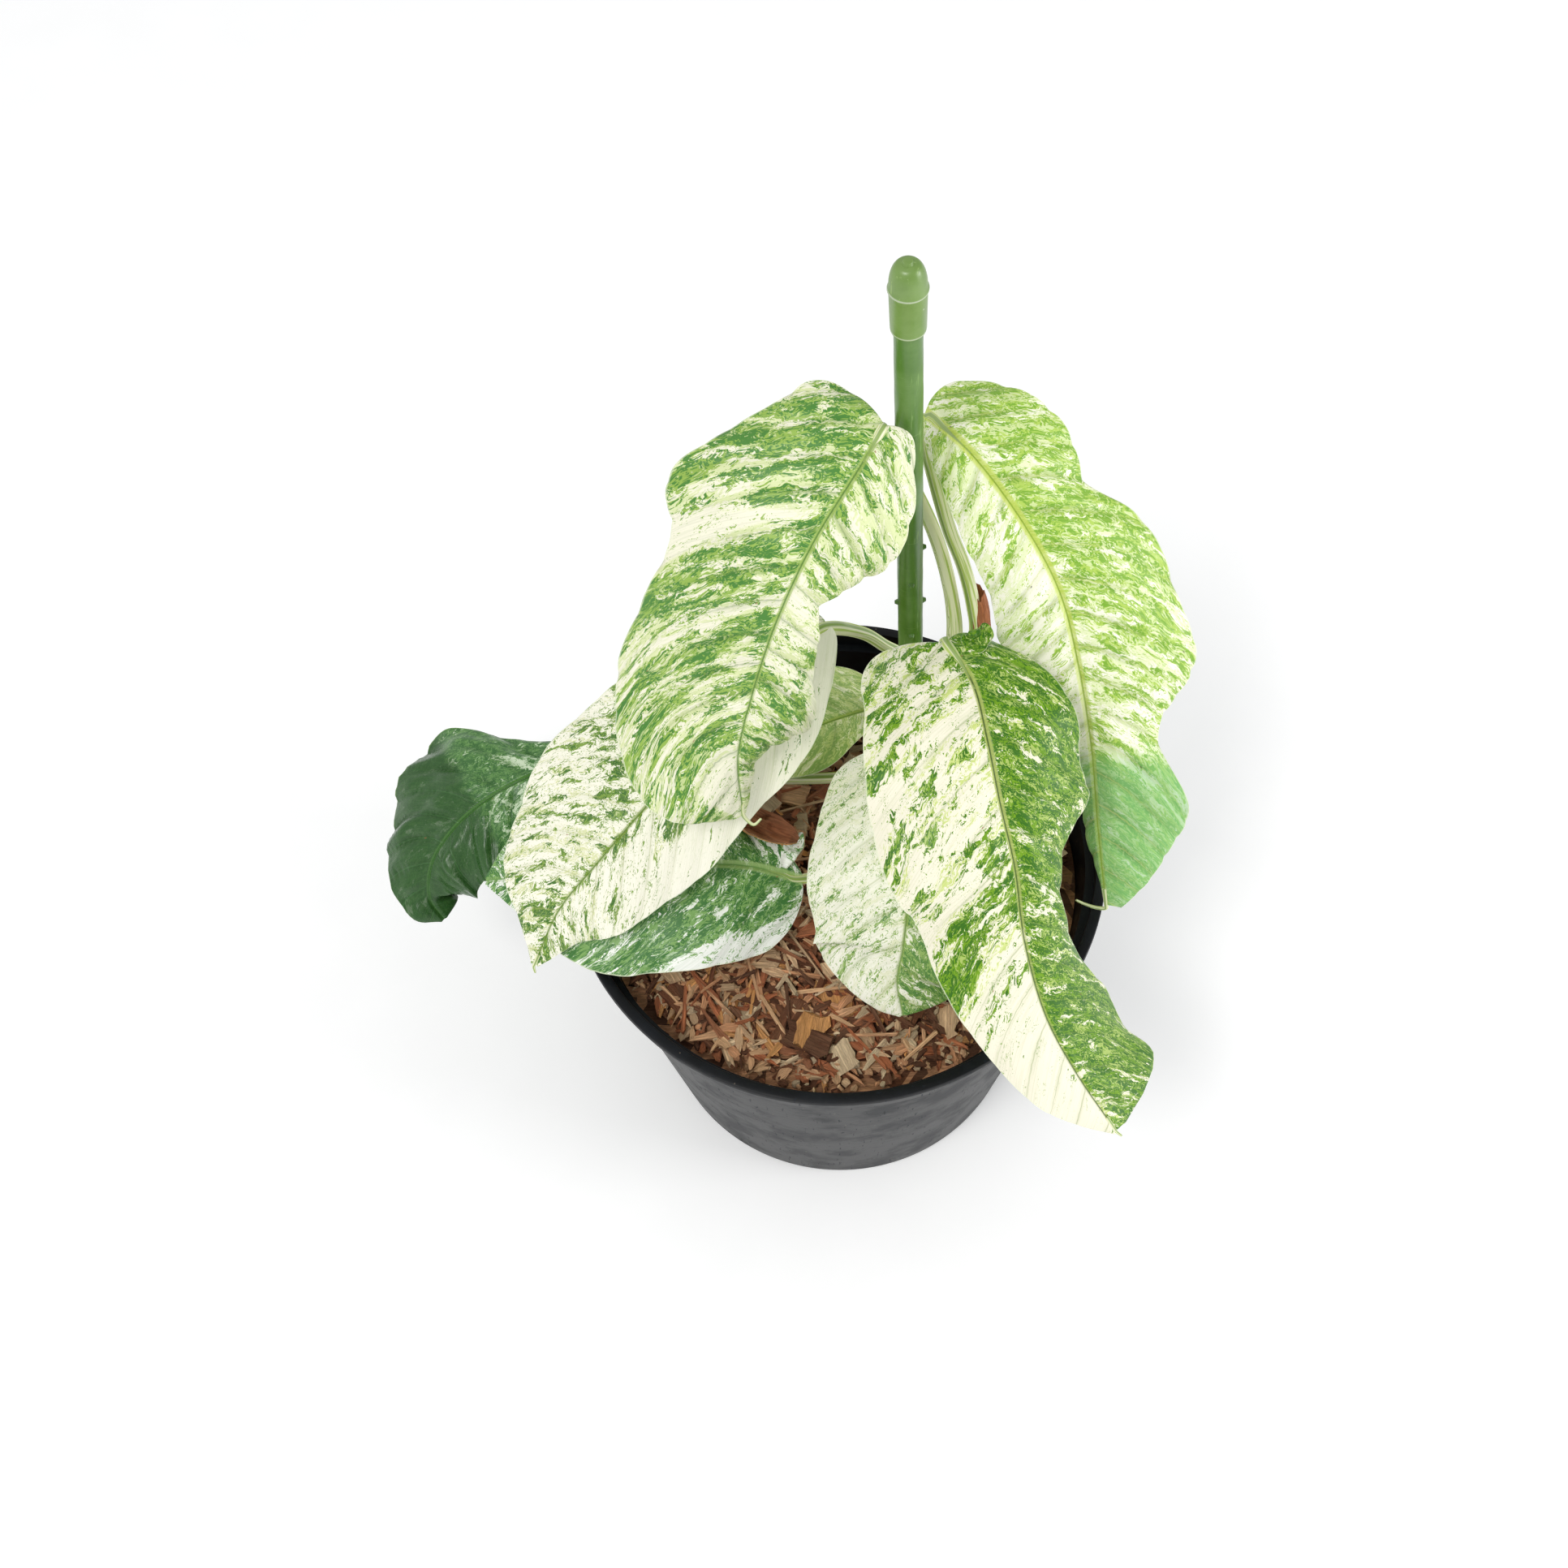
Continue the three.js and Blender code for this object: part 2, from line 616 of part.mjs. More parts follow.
// Flakes spread over the mix by the golden angle, along the wall near the rim, none right against the stem.
function barkChips() {
  const random = seeded(CHIP_SEED);
  const golden = Math.PI * (3 - Math.sqrt(5));
  const [stemX, stemY] = STEM_ROUTE[2];
  const chips = [];
  for (let i = 0; i < CHIP_COUNT; i++) {
    const radius = CHIP_FIELD_RADIUS * Math.sqrt((i + 0.5) / CHIP_COUNT);
    const angle = i * golden + 0.3 * random();
    const nearWall = radius > CHIP_WALL_RADIUS;
    const yaw = nearWall ? angle + Math.PI / 2 + 0.5 * (random() - 0.5) : 2 * Math.PI * random();
    const spread = [nearWall ? CHIP_WALL_SPREAD : CHIP_SPREAD[0], CHIP_SPREAD[1], CHIP_SPREAD[2]];
    const chip = barkChip(random, CHIP_MIN.map((least, axis) => least + spread[axis] * random()));
    chip.rotateX(0.7 * (random() - 0.5)).rotateY(0.5 * (random() - 0.5)).rotateZ(yaw);
    const [x, y] = [radius * Math.cos(angle), radius * Math.sin(angle)];
    chip.translate(x, y, mixSurface(radius) + 1.1 * random());
    chip.computeBoundingBox();
    chip.translate(0, 0, Math.min(0, CHIP_TOP - chip.boundingBox.max.z));
    if (Math.hypot(x - stemX, y - stemY) > STEM_CLEARING) chips.push(toSolid(chip));
  }
  return wasm.Manifold.union(chips);
}

function pottingMix(stemRoom) {
  const body = [
    [0, FLOOR + GAP],
    [potInside(FLOOR) - GAP, FLOOR + GAP],
    [potInside(MIX_EDGE_HEIGHT) - GAP, MIX_EDGE_HEIGHT],
    [CHIP_WALL_RADIUS, mixSurface(CHIP_WALL_RADIUS)],
    [CHIP_WALL_RADIUS / 2, mixSurface(CHIP_WALL_RADIUS / 2)],
    [0, mixSurface(0)],
  ];
  const roomFoot = MIX_EDGE_HEIGHT - 8;
  const room = [
    [0, roomFoot],
    [potInside(roomFoot) - GAP, roomFoot],
    [potInside(POT_HEIGHT - COLLAR_HEIGHT) - GAP, POT_HEIGHT - COLLAR_HEIGHT],
    [0, POT_HEIGHT - COLLAR_HEIGHT],
  ];
  const stakeRoom = ontoStake(turned([
    [0, STAKE_FOOT - 4 * GAP],
    [STAKE_RADIUS + 1.2 * GAP, STAKE_FOOT + STAKE_POINT - GAP],
    [STAKE_RADIUS + 1.2 * GAP, POT_HEIGHT],
    [0, POT_HEIGHT],
  ], STAKE_SIDES));
  const chips = barkChips().intersect(toSolid(turned(room)));
  return largestPiece(toSolid(turned(body)).add(chips).subtract(stemRoom).subtract(toSolid(stakeRoom)));
}

function stake() {
  const shaft = toSolid(ontoStake(turned([
    [0, STAKE_FOOT],
    [STAKE_RADIUS, STAKE_FOOT + STAKE_POINT],
    [STAKE_RADIUS, STAKE_TOP],
    [0, STAKE_TOP],
  ], STAKE_SIDES)));
  const nubs = [];
  for (let i = 0; NUB_START + i * NUB_PITCH < NUB_END; i++) {
    for (const side of [0, Math.PI]) {
      const angle = side + (i % 2) * (Math.PI / 2);
      const nub = new THREE.CylinderGeometry(NUB_TIP_RADIUS, NUB_FOOT_RADIUS, 2 * NUB_HEIGHT, 4);
      nub.rotateZ(-Math.PI / 2).translate(STAKE_RADIUS, 0, 0).rotateZ(angle);
      nubs.push(toSolid(ontoStake(nub.translate(0, 0, NUB_START + i * NUB_PITCH))));
    }
  }
  return shaft.add(wasm.Manifold.union(nubs));
}

// The soft cap: a skirt over the stake's end, a raised seam at the shoulder, a dome and a moulding nib.
function stakeCap() {
  const socket = STAKE_RADIUS + GAP;
  return toSolid(ontoStake(turned([
    [0, STAKE_TOP + GAP],
    [socket, STAKE_TOP + GAP],
    [socket, CAP_FOOT],
    [CAP_SKIRT_RADIUS, CAP_FOOT],
    [CAP_SHOULDER_RADIUS - CAP_SEAM, CAP_SHOULDER - 3 * CAP_SEAM],
    [CAP_SHOULDER_RADIUS, CAP_SHOULDER],
    [CAP_SHOULDER_RADIUS - CAP_SEAM, CAP_SHOULDER + 2 * CAP_SEAM],
    [CAP_SHOULDER_RADIUS - 0.8, CAP_TOP - 4],
    [CAP_SHOULDER_RADIUS - 1.9, CAP_TOP - 1.9],
    [CAP_NIB_RADIUS, CAP_TOP - 0.9],
    [CAP_NIB_RADIUS - 0.3, CAP_TOP - 0.2],
    [0, CAP_TOP],
  ], 20)));
}

// The climbing stem, with a slight swelling at each node. Margin grows it all round, to cut room for it.
function stem(margin = 0) {
  const radius = (s) => {
    const node = Math.max(0, Math.cos(2 * Math.PI * STEM_NODES * s)) ** 4;
    return THREE.MathUtils.lerp(STEM_FOOT_RADIUS, STEM_TOP_RADIUS, s) + STEM_NODE_SWELL * node + margin;
  };
  const route = STEM_ROUTE.map((point) => [...point]);
  route[0][2] -= margin;
  route.at(-1)[2] += margin;
  return toSolid(bar(route, radius, 4 * STEM_NODES, 10));
}

function leafSolid(leaf, stemRoom) {
  let solid = toSolid(blade(leaf)).add(toSolid(stalk(leaf)));
  if (leaf.drip) solid = solid.add(toSolid(dripTip(leaf)));
  return largestPiece(solid.subtract(stemRoom));
}

// The dried sheath of an older leaf, still clasping the foot of the upper right leaf's stalk from behind.
function drySheath(stemRoom) {
  const owner = LEAVES.find((leaf) => leaf.name === 'leaf_upper_right');
  const outer = toSolid(bar(SHEATH_ROUTE, (s) => SHEATH_RADIUS - SHEATH_TAPER * s, 8, 10));
  const stalkRoom = toSolid(bar(owner.stalk, () => owner.stalkRadius + STALK_FLARE + 1.6 * GAP, 20, 12));
  const [x, y, z] = SHEATH_ROUTE[1];
  const openSide = new THREE.BoxGeometry(20, 20, 80).translate(-11, 0, 0).rotateZ(-0.5).translate(x, y, z);
  return largestPiece(outer.subtract(stalkRoom).subtract(stemRoom).subtract(toSolid(openSide)));
}

// The assembly

const stemRoom = stem(GAP);
const plant = new THREE.Group();
plant.add(toMesh('pot', pot(), 0x2d3a44, 0.4));
plant.add(toMesh('potting_mix', pottingMix(stemRoom), 0x8a6442, 0.95));
plant.add(toMesh('stake', stake(), 0x2f7044, 0.5));
plant.add(toMesh('stake_cap', stakeCap(), 0x5c9a5e, 0.55));
plant.add(toMesh('stem', stem(), 0x6f8f3d, 0.6));
plant.add(toMesh('dry_sheath', drySheath(stemRoom), 0xa8713c, 0.8));
for (const leaf of LEAVES) {
  plant.add(toMesh(leaf.name, leafSolid(leaf, stemRoom), leaf.colour, 0.45));
}

export default plant;
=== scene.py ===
"""The looks of a potted variegated climbing aroid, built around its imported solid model.

Every size is in millimetres, in the model's own frame, until make_piece turns a mesh into metres.
"""

import logging
import math
import random
from collections.abc import Callable, Sequence
from dataclasses import dataclass
from enum import Enum
from functools import cached_property

import bmesh
import bpy
from bmesh.types import BMesh, BMLayerItem, BMVert
from bpy.types import Material, NodeSocket, NodeTree, Object
from mathutils import Euler, Matrix, Vector, noise


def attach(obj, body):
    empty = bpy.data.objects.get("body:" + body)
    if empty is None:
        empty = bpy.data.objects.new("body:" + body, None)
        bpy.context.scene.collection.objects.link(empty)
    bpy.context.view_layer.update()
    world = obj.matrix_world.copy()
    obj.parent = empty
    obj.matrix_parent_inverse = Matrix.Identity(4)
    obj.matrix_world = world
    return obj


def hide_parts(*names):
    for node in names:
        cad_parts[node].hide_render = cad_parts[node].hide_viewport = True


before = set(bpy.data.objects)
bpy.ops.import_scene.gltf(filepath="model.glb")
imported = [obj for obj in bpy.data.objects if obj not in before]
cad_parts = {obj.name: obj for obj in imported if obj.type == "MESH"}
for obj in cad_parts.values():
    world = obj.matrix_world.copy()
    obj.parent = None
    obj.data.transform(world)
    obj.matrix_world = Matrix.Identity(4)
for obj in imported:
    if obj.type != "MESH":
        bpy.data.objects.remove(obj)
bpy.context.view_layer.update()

MM = 0.001
BODY = "root"
LOG = logging.getLogger("potted_aroid")

Point = tuple[float, float, float]
Knots = tuple[tuple[float, float], ...]
Shade = tuple[int, int, int]
Value = NodeSocket | float
Tint = NodeSocket | Shade


class Side(Enum):
    """The two halves of a blade, as seen with the tip pointing at the viewer."""

    LEFT = -1
    RIGHT = 1


def linear(shade: Shade) -> tuple[float, float, float, float]:
    """Turns an everyday screen colour into the linear colour that a shader works in.

    Args:
        shade: Red, green and blue from 0 to 255.

    Returns:
        Red, green, blue and alpha from 0 to 1.
    """
    channels = []
    for channel in shade:
        c = channel / 255
        channels.append(c / 12.92 if c <= 0.04045 else ((c + 0.055) / 1.055) ** 2.4)
    return (*channels, 1.0)


def smooth(value: float, low: float, high: float) -> float:
    """Goes softly from 0 at low to 1 at high, whichever of the two is larger."""
    f = min(1.0, max(0.0, (value - low) / (high - low)))
    return f * f * (3 - 2 * f)


def along(knots: Knots, place: float) -> float:
    """Reads a list of (place, value) knots as a smooth curve through them.

    Args:
        knots: The places, in rising order, and their values.
        place: Where to read.

    Returns:
        The value there.
    """
    last = len(knots) - 1
    if place <= knots[0][0]:
        return knots[0][1]
    if place >= knots[last][0]:
        return knots[last][1]
    i = next(k for k, (at, _) in enumerate(knots) if at > place) - 1

    def slope(j: int) -> float:
        """The slope of the curve at a knot."""
        low, high = knots[max(j - 1, 0)], knots[min(j + 1, last)]
        return (high[1] - low[1]) / (high[0] - low[0])

    span = knots[i + 1][0] - knots[i][0]
    f = (place - knots[i][0]) / span
    rise = (2 * f - 3) * f * f
    curve = (1 + rise) * knots[i][1] - rise * knots[i + 1][1]
    return curve + f * (1 - f) * span * ((1 - f) * slope(i) - f * slope(i + 1))


def straight(knots: Knots, place: float) -> float:
    """Reads a list of (place, value) knots with straight lines between them.

    Args:
        knots: The places, in rising order, and their values.
        place: Where to read.

    Returns:
        The value there.
    """
    for (low, first), (high, second) in zip(knots, knots[1:]):
        if place <= high:
            f = min(1.0, max(0.0, (place - low) / (high - low)))
            return first + (second - first) * f
    return knots[-1][1]


def even(value: float) -> Knots:
    """Makes knots with the same value from end to end."""
    return ((0, value), (1, value))


def swept(base: float, middle: float) -> Knots:
    """Makes knots for margins that lie behind the midrib at a blade's base and ahead of it further on."""
    return ((0, base), (0.25, middle), (1, 0.25))


class Route:
    """A smooth line through given points."""

    STEPS = 200

    def __init__(self, points: Sequence[Point | Vector]) -> None:
        """Keeps the points and measures the line.

        Args:
            points: The points that the line runs through.
        """
        self.points = [Vector(point) for point in points]
        line = [self.at(i / self.STEPS) for i in range(self.STEPS + 1)]
        self.lengths = [0.0]
        for first, second in zip(line, line[1:]):
            self.lengths.append(self.lengths[-1] + (second - first).length)

    @property
    def length(self) -> float:
        """The whole length of the line."""
        return self.lengths[-1]

    def at(self, share: float) -> Vector:
        """Finds a point by its share of the stretches between points.

        Args:
            share: From 0 at the first point to 1 at the last.

        Returns:
            The point.
        """
        points, last = self.points, len(self.points) - 1
        place = min(1.0, max(0.0, share)) * last
        i = min(int(place), last - 1)
        f = place - i
        start, end = points[i], points[i + 1]
        before = points[i - 1] if i > 0 else 2 * start - end
        after = points[i + 2] if i + 2 <= last else 2 * end - start
        rise = (2 * f - 3) * f * f
        bend = (1 - f) * (end - before) * 0.5 - f * (after - start) * 0.5
        return (1 + rise) * start - rise * end + f * (1 - f) * bend

    def length_to(self, share: float) -> float:
        """Measures the line up to a share of the stretches between points.

        Args:
            share: From 0 at the first point to 1 at the last.

        Returns:
            The length up to there.
        """
        place = min(1.0, max(0.0, share)) * self.STEPS
        i = min(int(place), self.STEPS - 1)
        return self.lengths[i] + (self.lengths[i + 1] - self.lengths[i]) * (place - i)

    def evenly(self, count: int) -> list[Vector]:
        """Points at even distances along the line.

        Args:
            count: How many stretches to make.

        Returns:
            One more point than there are stretches.
        """
        i, found = 0, []
        for k in range(count + 1):
            goal = self.length * k / count
            while i < self.STEPS - 1 and self.lengths[i + 1] < goal:
                i += 1
            span = self.lengths[i + 1] - self.lengths[i]
            f = (goal - self.lengths[i]) / span if span > 0 else 0.0
            found.append(self.at((i + min(1.0, f)) / self.STEPS))
        return found


class Graph:
    """Short ways to build the nodes of one material or node group."""

    def __init__(self, tree: NodeTree) -> None:
        """Keeps the node tree to build in.

        Args:
            tree: The node tree of a material or a group.
        """
        self.tree = tree

    def node(self, kind: str, **settings: object) -> bpy.types.Node:
        """Adds a node and sets its properties.

        Args:
            kind: The node's type without its ShaderNode prefix.
            settings: Properties of the node by name.

        Returns:
            The node.
        """
        made = self.tree.nodes.new("ShaderNode" + kind)
        for name, value in settings.items():
            setattr(made, name, value)
        return made

    def given(self) -> bpy.types.bpy_prop_collection:
        """The values that come into the node group."""
        return self.tree.nodes.new("NodeGroupInput").outputs

    def results(self) -> bpy.types.bpy_prop_collection:
        """The sockets that take the node group's results."""
        return self.tree.nodes.new("NodeGroupOutput").inputs

    def put(self, socket: NodeSocket, value: object) -> None:
        """Links a socket to another one, or gives it a plain value.

        Args:
            socket: The socket to fill.
            value: What it takes. A colour is from 0 to 255.
        """
        if isinstance(value, NodeSocket):
            self.tree.links.new(value, socket)
        elif socket.type == "RGBA":
            socket.default_value = linear(value)
        else:
            socket.default_value = value

    def attribute(self, name: str, output: str = "Vector") -> NodeSocket:
        """Reads an attribute of the mesh, as a vector or, with Fac, as a value."""
        return self.node("Attribute", attribute_name=name).outputs[output]

    def parts(self, vector: NodeSocket) -> tuple[NodeSocket, NodeSocket, NodeSocket]:
        """Splits a vector into its three values.

        Args:
            vector: The vector.

        Returns:
            Its X, Y and Z.
        """
        made = self.node("SeparateXYZ")
        self.put(made.inputs[0], vector)
        return made.outputs[0], made.outputs[1], made.outputs[2]

    def vector(self, x: Value, y: Value, z: Value = 0.0) -> NodeSocket:
        """Joins three values into a vector.

        Args:
            x: Its X.
            y: Its Y.
            z: Its Z.

        Returns:
            The vector.
        """
        made = self.node("CombineXYZ")
        for socket, value in zip(made.inputs, (x, y, z)):
            self.put(socket, value)
        return made.outputs[0]

    def math(self, operation: str, a: Value, b: Value = 0.0, c: Value = 0.0) -> NodeSocket:
        """Works out one value from up to three others.

        Args:
            operation: The Math node's operation.
            a: The first value.
            b: The second value.
            c: The third value.

        Returns:
            The result.
        """
        made = self.node("Math", operation=operation)
        for socket, value in zip(made.inputs, (a, b, c)):
            self.put(socket, value)
        return made.outputs[0]

    def times(self, a: Value, b: Value) -> NodeSocket:
        """Multiplies two values."""
        return self.math("MULTIPLY", a, b)

    def span(self, value: Value, low: Value, high: Value, to: tuple[float, float] = (0.0, 1.0)) -> NodeSocket:
        """Maps a stretch of values softly onto another.

        Args:
            value: The value to map.
            low: The value that gives the first result.
            high: The value that gives the second result.
            to: The two results.

        Returns:
            The mapped value, which never passes the two results.
        """
        made = self.node("MapRange", interpolation_type="SMOOTHSTEP")
        for socket, given in zip(made.inputs, (value, low, high, *to)):
            self.put(socket, given)
        return made.outputs[0]

    def mix(self, share: Value, first: Tint, second: Tint, blend: str = "MIX") -> NodeSocket:
        """Mixes two colours.

        Args:
            share: 0 for the first colour, 1 for the second.
            first: The first colour.
            second: The second colour.
            blend: The Mix node's way of blending.

        Returns:
            The mixed colour.
        """
        made = self.node("Mix", data_type="RGBA", blend_type=blend)
        self.put(made.inputs["Factor"], share)
        for index, value in ((6, first), (7, second)):
            self.put(made.inputs[index], value)
        return made.outputs[2]

    def scaled(self, vector: NodeSocket, scale: Point, shift: NodeSocket | Point = (0, 0, 0)) -> NodeSocket:
        """Stretches a vector along its axes, after shifting it.

        Args:
            vector: The vector.
            scale: The stretch along each axis.
            shift: What is added first.

        Returns:
            The stretched vector.
        """
        moved = self.node("VectorMath", operation="ADD")
        self.put(moved.inputs[0], vector)
        self.put(moved.inputs[1], shift)
        made = self.node("VectorMath", operation="MULTIPLY")
        self.put(made.inputs[0], moved.outputs[0])
        self.put(made.inputs[1], scale)
        return made.outputs[0]

    def noise(
        self, vector: NodeSocket, scale: float = 1.0, detail: float = 2.0, rough: float = 0.5
    ) -> NodeSocket:
        """Reads soft noise, mostly between 0.3 and 0.7.

        Args:
            vector: Where to read it.
            scale: How fine it is.
            detail: How many finer layers are added.
            rough: How strong the finer layers are.

        Returns:
            The noise.
        """
        made = self.node("TexNoise")
        self.put(made.inputs["Vector"], vector)
        for name, value in (("Scale", scale), ("Detail", detail), ("Roughness", rough)):
            self.put(made.inputs[name], value)
        return made.outputs[0]

    def drift(self, vector: NodeSocket, scale: float, far: Point) -> NodeSocket:
        """Moves places about by soft noise.

        Args:
            vector: The places.
            scale: How fine the noise is.
            far: How far it moves them along each axis.

        Returns:
            The moved places.
        """
        wind = self.node("TexNoise")
        self.put(wind.inputs["Vector"], vector)
        self.put(wind.inputs["Scale"], scale)
        moved = self.node("VectorMath", operation="MULTIPLY_ADD")
        self.put(moved.inputs[0], wind.outputs["Color"])
        self.put(moved.inputs[1], far)
        self.put(moved.inputs[2], vector)
        return moved.outputs[0]

    def use(self, group: NodeTree, **values: object) -> bpy.types.Node:
        """Places a node group.

        Args:
            group: The group.
            values: The group's inputs by name.

        Returns:
            The node that holds it.
        """
        made = self.node("Group", node_tree=group)
        for name, value in values.items():
            self.put(made.inputs[name], value)
        return made


def new_group(name: str, inputs: dict[str, str], outputs: dict[str, str]) -> tuple[NodeTree, Graph]:
    """Starts a shader node group.

    Args:
        name: The group's name.
        inputs: The kind of each input socket by name.
        outputs: The kind of each output socket by name.

    Returns:
        The group and the graph to build it with.
    """
    tree = bpy.data.node_groups.new(name, "ShaderNodeTree")
    for label, kind in inputs.items():
        tree.interface.new_socket(name=label, in_out="INPUT", socket_type="NodeSocket" + kind)
    for label, kind in outputs.items():
        tree.interface.new_socket(name=label, in_out="OUTPUT", socket_type="NodeSocket" + kind)
    return tree, Graph(tree)


def new_material(name: str) -> tuple[Material, Graph, bpy.types.Node]:
    """Starts a material with one Principled shader.

    Args:
        name: The material's name.

    Returns:
        The material, the graph to build it with and its shader.
    """
    material = bpy.data.materials.new(name)
    material.use_nodes = True
    return material, Graph(material.node_tree), material.node_tree.nodes["Principled BSDF"]


def relief(graph: Graph, shader: bpy.types.Node, height: NodeSocket, depth: float) -> None:
    """Gives a shader a bump of a real depth.

    Args:
        graph: The material's graph.
        shader: The shader.
        height: The height from 0 to 1.
        depth: What a height of 1 stands for, in millimetres.
    """
    bump = graph.node("Bump")
    bump.inputs["Distance"].default_value = depth * MM
    graph.put(bump.inputs["Height"], height)
    graph.put(shader.inputs["Normal"], bump.outputs[0])


def marbling_group() -> NodeTree:
    """Builds the marbling of a variegated blade, in streaks and flecks that follow its side veins.

    Returns:
        The group. Vein holds the distance out along the veins, the distance across them and the side.
        Green is the share of the surface that is green. Haze is how much of the cream is milky, Flecks
        how much of the green has pale flecks, and Crumbs how much of the cream has green ones.
    """
    inputs = {"Vein": "Vector"}
    inputs.update(dict.fromkeys(("Green", "Haze", "Flecks", "Crumbs", "Seed"), "Float"))
    inputs.update(dict.fromkeys(("Deep", "Fresh", "Veil", "Cream"), "Color"))
    group, graph = new_group("marbling", inputs, {"Color": "Color", "Mask": "Float", "Grain": "Float"})
    given = graph.given()
    seed = graph.times(given["Seed"], 37.7)
    shift = graph.vector(seed, seed, seed)
    vein = graph.drift(graph.scaled(given["Vein"], (1.0, 1.0, 1.0), shift), 0.22, (5.0, 5.0, 0.0))

    def layer(out: float, cross: float, apart: float, detail: float, rough: float) -> NodeSocket:
        """Noise that is stretched along the side veins."""
        place = graph.scaled(vein, (out, cross, 1.0), (apart, -apart, 0.7 * apart))
        return graph.noise(place, 1.0, detail, rough)

    def level_of(parts: Sequence[tuple[NodeSocket, float]]) -> NodeSocket:
        """Adds layers of noise up to an even spread of levels from 0 to 1.

        Args:
            parts: Each layer with its weight.

        Returns:
            The level.
        """
        total: Value = 0.5 - 0.5 * sum(weight for _, weight in parts)
        for value, weight in parts:
            total = graph.math("MULTIPLY_ADD", value, weight, total)
        return total

    def where(limit: NodeSocket, level: NodeSocket, soft: float) -> NodeSocket:
        """A mask of the places whose level lies under a limit."""
        return graph.span(graph.math("SUBTRACT", limit, level), -soft, soft)

    broad = layer(0.045, 0.13, 0.0, 2.0, 0.5)
    middle = layer(0.17, 0.36, 5.0, 4.0, 0.55)
    fine = layer(1.0, 1.5, 9.0, 2.0, 0.6)
    grit = layer(3.0, 3.6, 15.0, 2.0, 0.6)
    level = level_of(((broad, 1.3), (middle, 2.9), (fine, 1.25), (grit, 0.8)))
    margin = graph.math("SUBTRACT", given["Green"], level)
    mask = graph.span(margin, -0.02, 0.02)
    tone = level_of(((layer(0.3, 0.6, 21.0, 3.0, 0.55), 1.9), (layer(1.9, 2.4, 33.0, 2.0, 0.6), 2.2)))
    rimmed = graph.span(margin, 0.2, 0.02, (0.0, 0.35))
    fresh = graph.span(graph.math("ADD", tone, rimmed), 0.5, 0.66)
    green = graph.mix(fresh, given["Deep"], given["Fresh"])
    light = graph.mix(0.55, given["Fresh"], given["Veil"])
    flecks = level_of(((layer(1.6, 2.0, 57.0, 2.0, 0.6), 2.2), (layer(0.25, 0.5, 61.0, 2.0, 0.5), 1.4)))
    green = graph.mix(where(given["Flecks"], flecks, 0.03), green, light)
    mist = level_of(((layer(0.1, 0.4, 71.0, 3.0, 0.55), 2.2), (layer(1.4, 1.9, 83.0, 2.0, 0.6), 1.6)))
    milky = where(given["Haze"], mist, 0.1)
    near_green = graph.span(given["Green"], 0.03, 0.2)
    cream = graph.mix(graph.times(milky, near_green), given["Cream"], given["Veil"])
    crumbs = level_of(((layer(2.0, 2.6, 97.0, 2.0, 0.6), 2.2), (layer(0.3, 0.5, 99.0, 2.0, 0.5), 1.4)))
    crumbs = where(given["Crumbs"], crumbs, 0.03)
    crumbs = graph.times(crumbs, graph.span(given["Green"], -0.2, 0.05))
    cream = graph.mix(crumbs, cream, given["Fresh"])
    out = graph.results()
    graph.put(out["Color"], graph.mix(mask, cream, green))
    graph.put(out["Mask"], mask)
    graph.put(out["Grain"], fine)
    return group


def specks_group() -> NodeTree:
    """Builds small scattered specks, such as corky dots or dust.

    Returns:
        The group. Share is how many of the cells hold a speck, and Size its radius as a share of a cell.
    """
    inputs = {"Vector": "Vector", "Share": "Float", "Size": "Float"}
    group, graph = new_group("specks", inputs, {"Mask": "Float"})
    given = graph.given()
    cells = graph.node("TexVoronoi")
    graph.put(cells.inputs["Vector"], given["Vector"])
    graph.put(cells.inputs["Scale"], 1.0)
    pick = graph.math("LESS_THAN", graph.parts(cells.outputs["Color"])[0], given["Share"])
    near = graph.math("DIVIDE", cells.outputs["Distance"], given["Size"])
    spot = graph.span(near, 1.0, 0.6)
    graph.put(graph.results()[0], graph.times(pick, spot))
    return group


def scuffs_group() -> NodeTree:
    """Builds the fine scratches and dull patches of handled plastic.

    Returns:
        The group. Vector is in millimetres, and Scratch and Patch are masks.
    """
    group, graph = new_group("scuffs", {"Vector": "Vector"}, {"Scratch": "Float", "Patch": "Float"})
    given = graph.given()
    lines = graph.noise(graph.scaled(given["Vector"], (0.9, 0.9, 0.06)), 1.0, 3.0, 0.7)
    across = graph.noise(graph.scaled(given["Vector"], (0.05, 0.05, 1.1), (9.0, 4.0, 2.0)), 1.0, 3.0, 0.7)
    scratch = graph.math("MAXIMUM", graph.span(lines, 0.62, 0.7), graph.span(across, 0.66, 0.74))
    patch = graph.noise(graph.scaled(given["Vector"], (0.07, 0.07, 0.07)), 1.0, 4.0, 0.6)
    out = graph.results()
    graph.put(out["Scratch"], scratch)
    graph.put(out["Patch"], graph.span(patch, 0.42, 0.66))
    return group


def fibre_group() -> NodeTree:
    """Builds the lengthwise grain of bark, wood and dried sheath.

    Returns:
        The group. Vector is in millimetres with X along the grain, and Grain is dark in the furrows.
    """
    group, graph = new_group("fibre", {"Vector": "Vector"}, {"Grain": "Float", "Blotch": "Float"})
    given = graph.given()
    strands = graph.noise(graph.scaled(given["Vector"], (0.12, 1.6, 1.6)), 1.0, 4.0, 0.65)
    blotch = graph.noise(graph.scaled(given["Vector"], (0.12, 0.25, 0.25), (7.0, 3.0, 1.0)), 1.0, 3.0)
    out = graph.results()
    graph.put(out["Grain"], graph.span(strands, 0.34, 0.64))
    graph.put(out["Blotch"], graph.span(blotch, 0.35, 0.65))
    return group


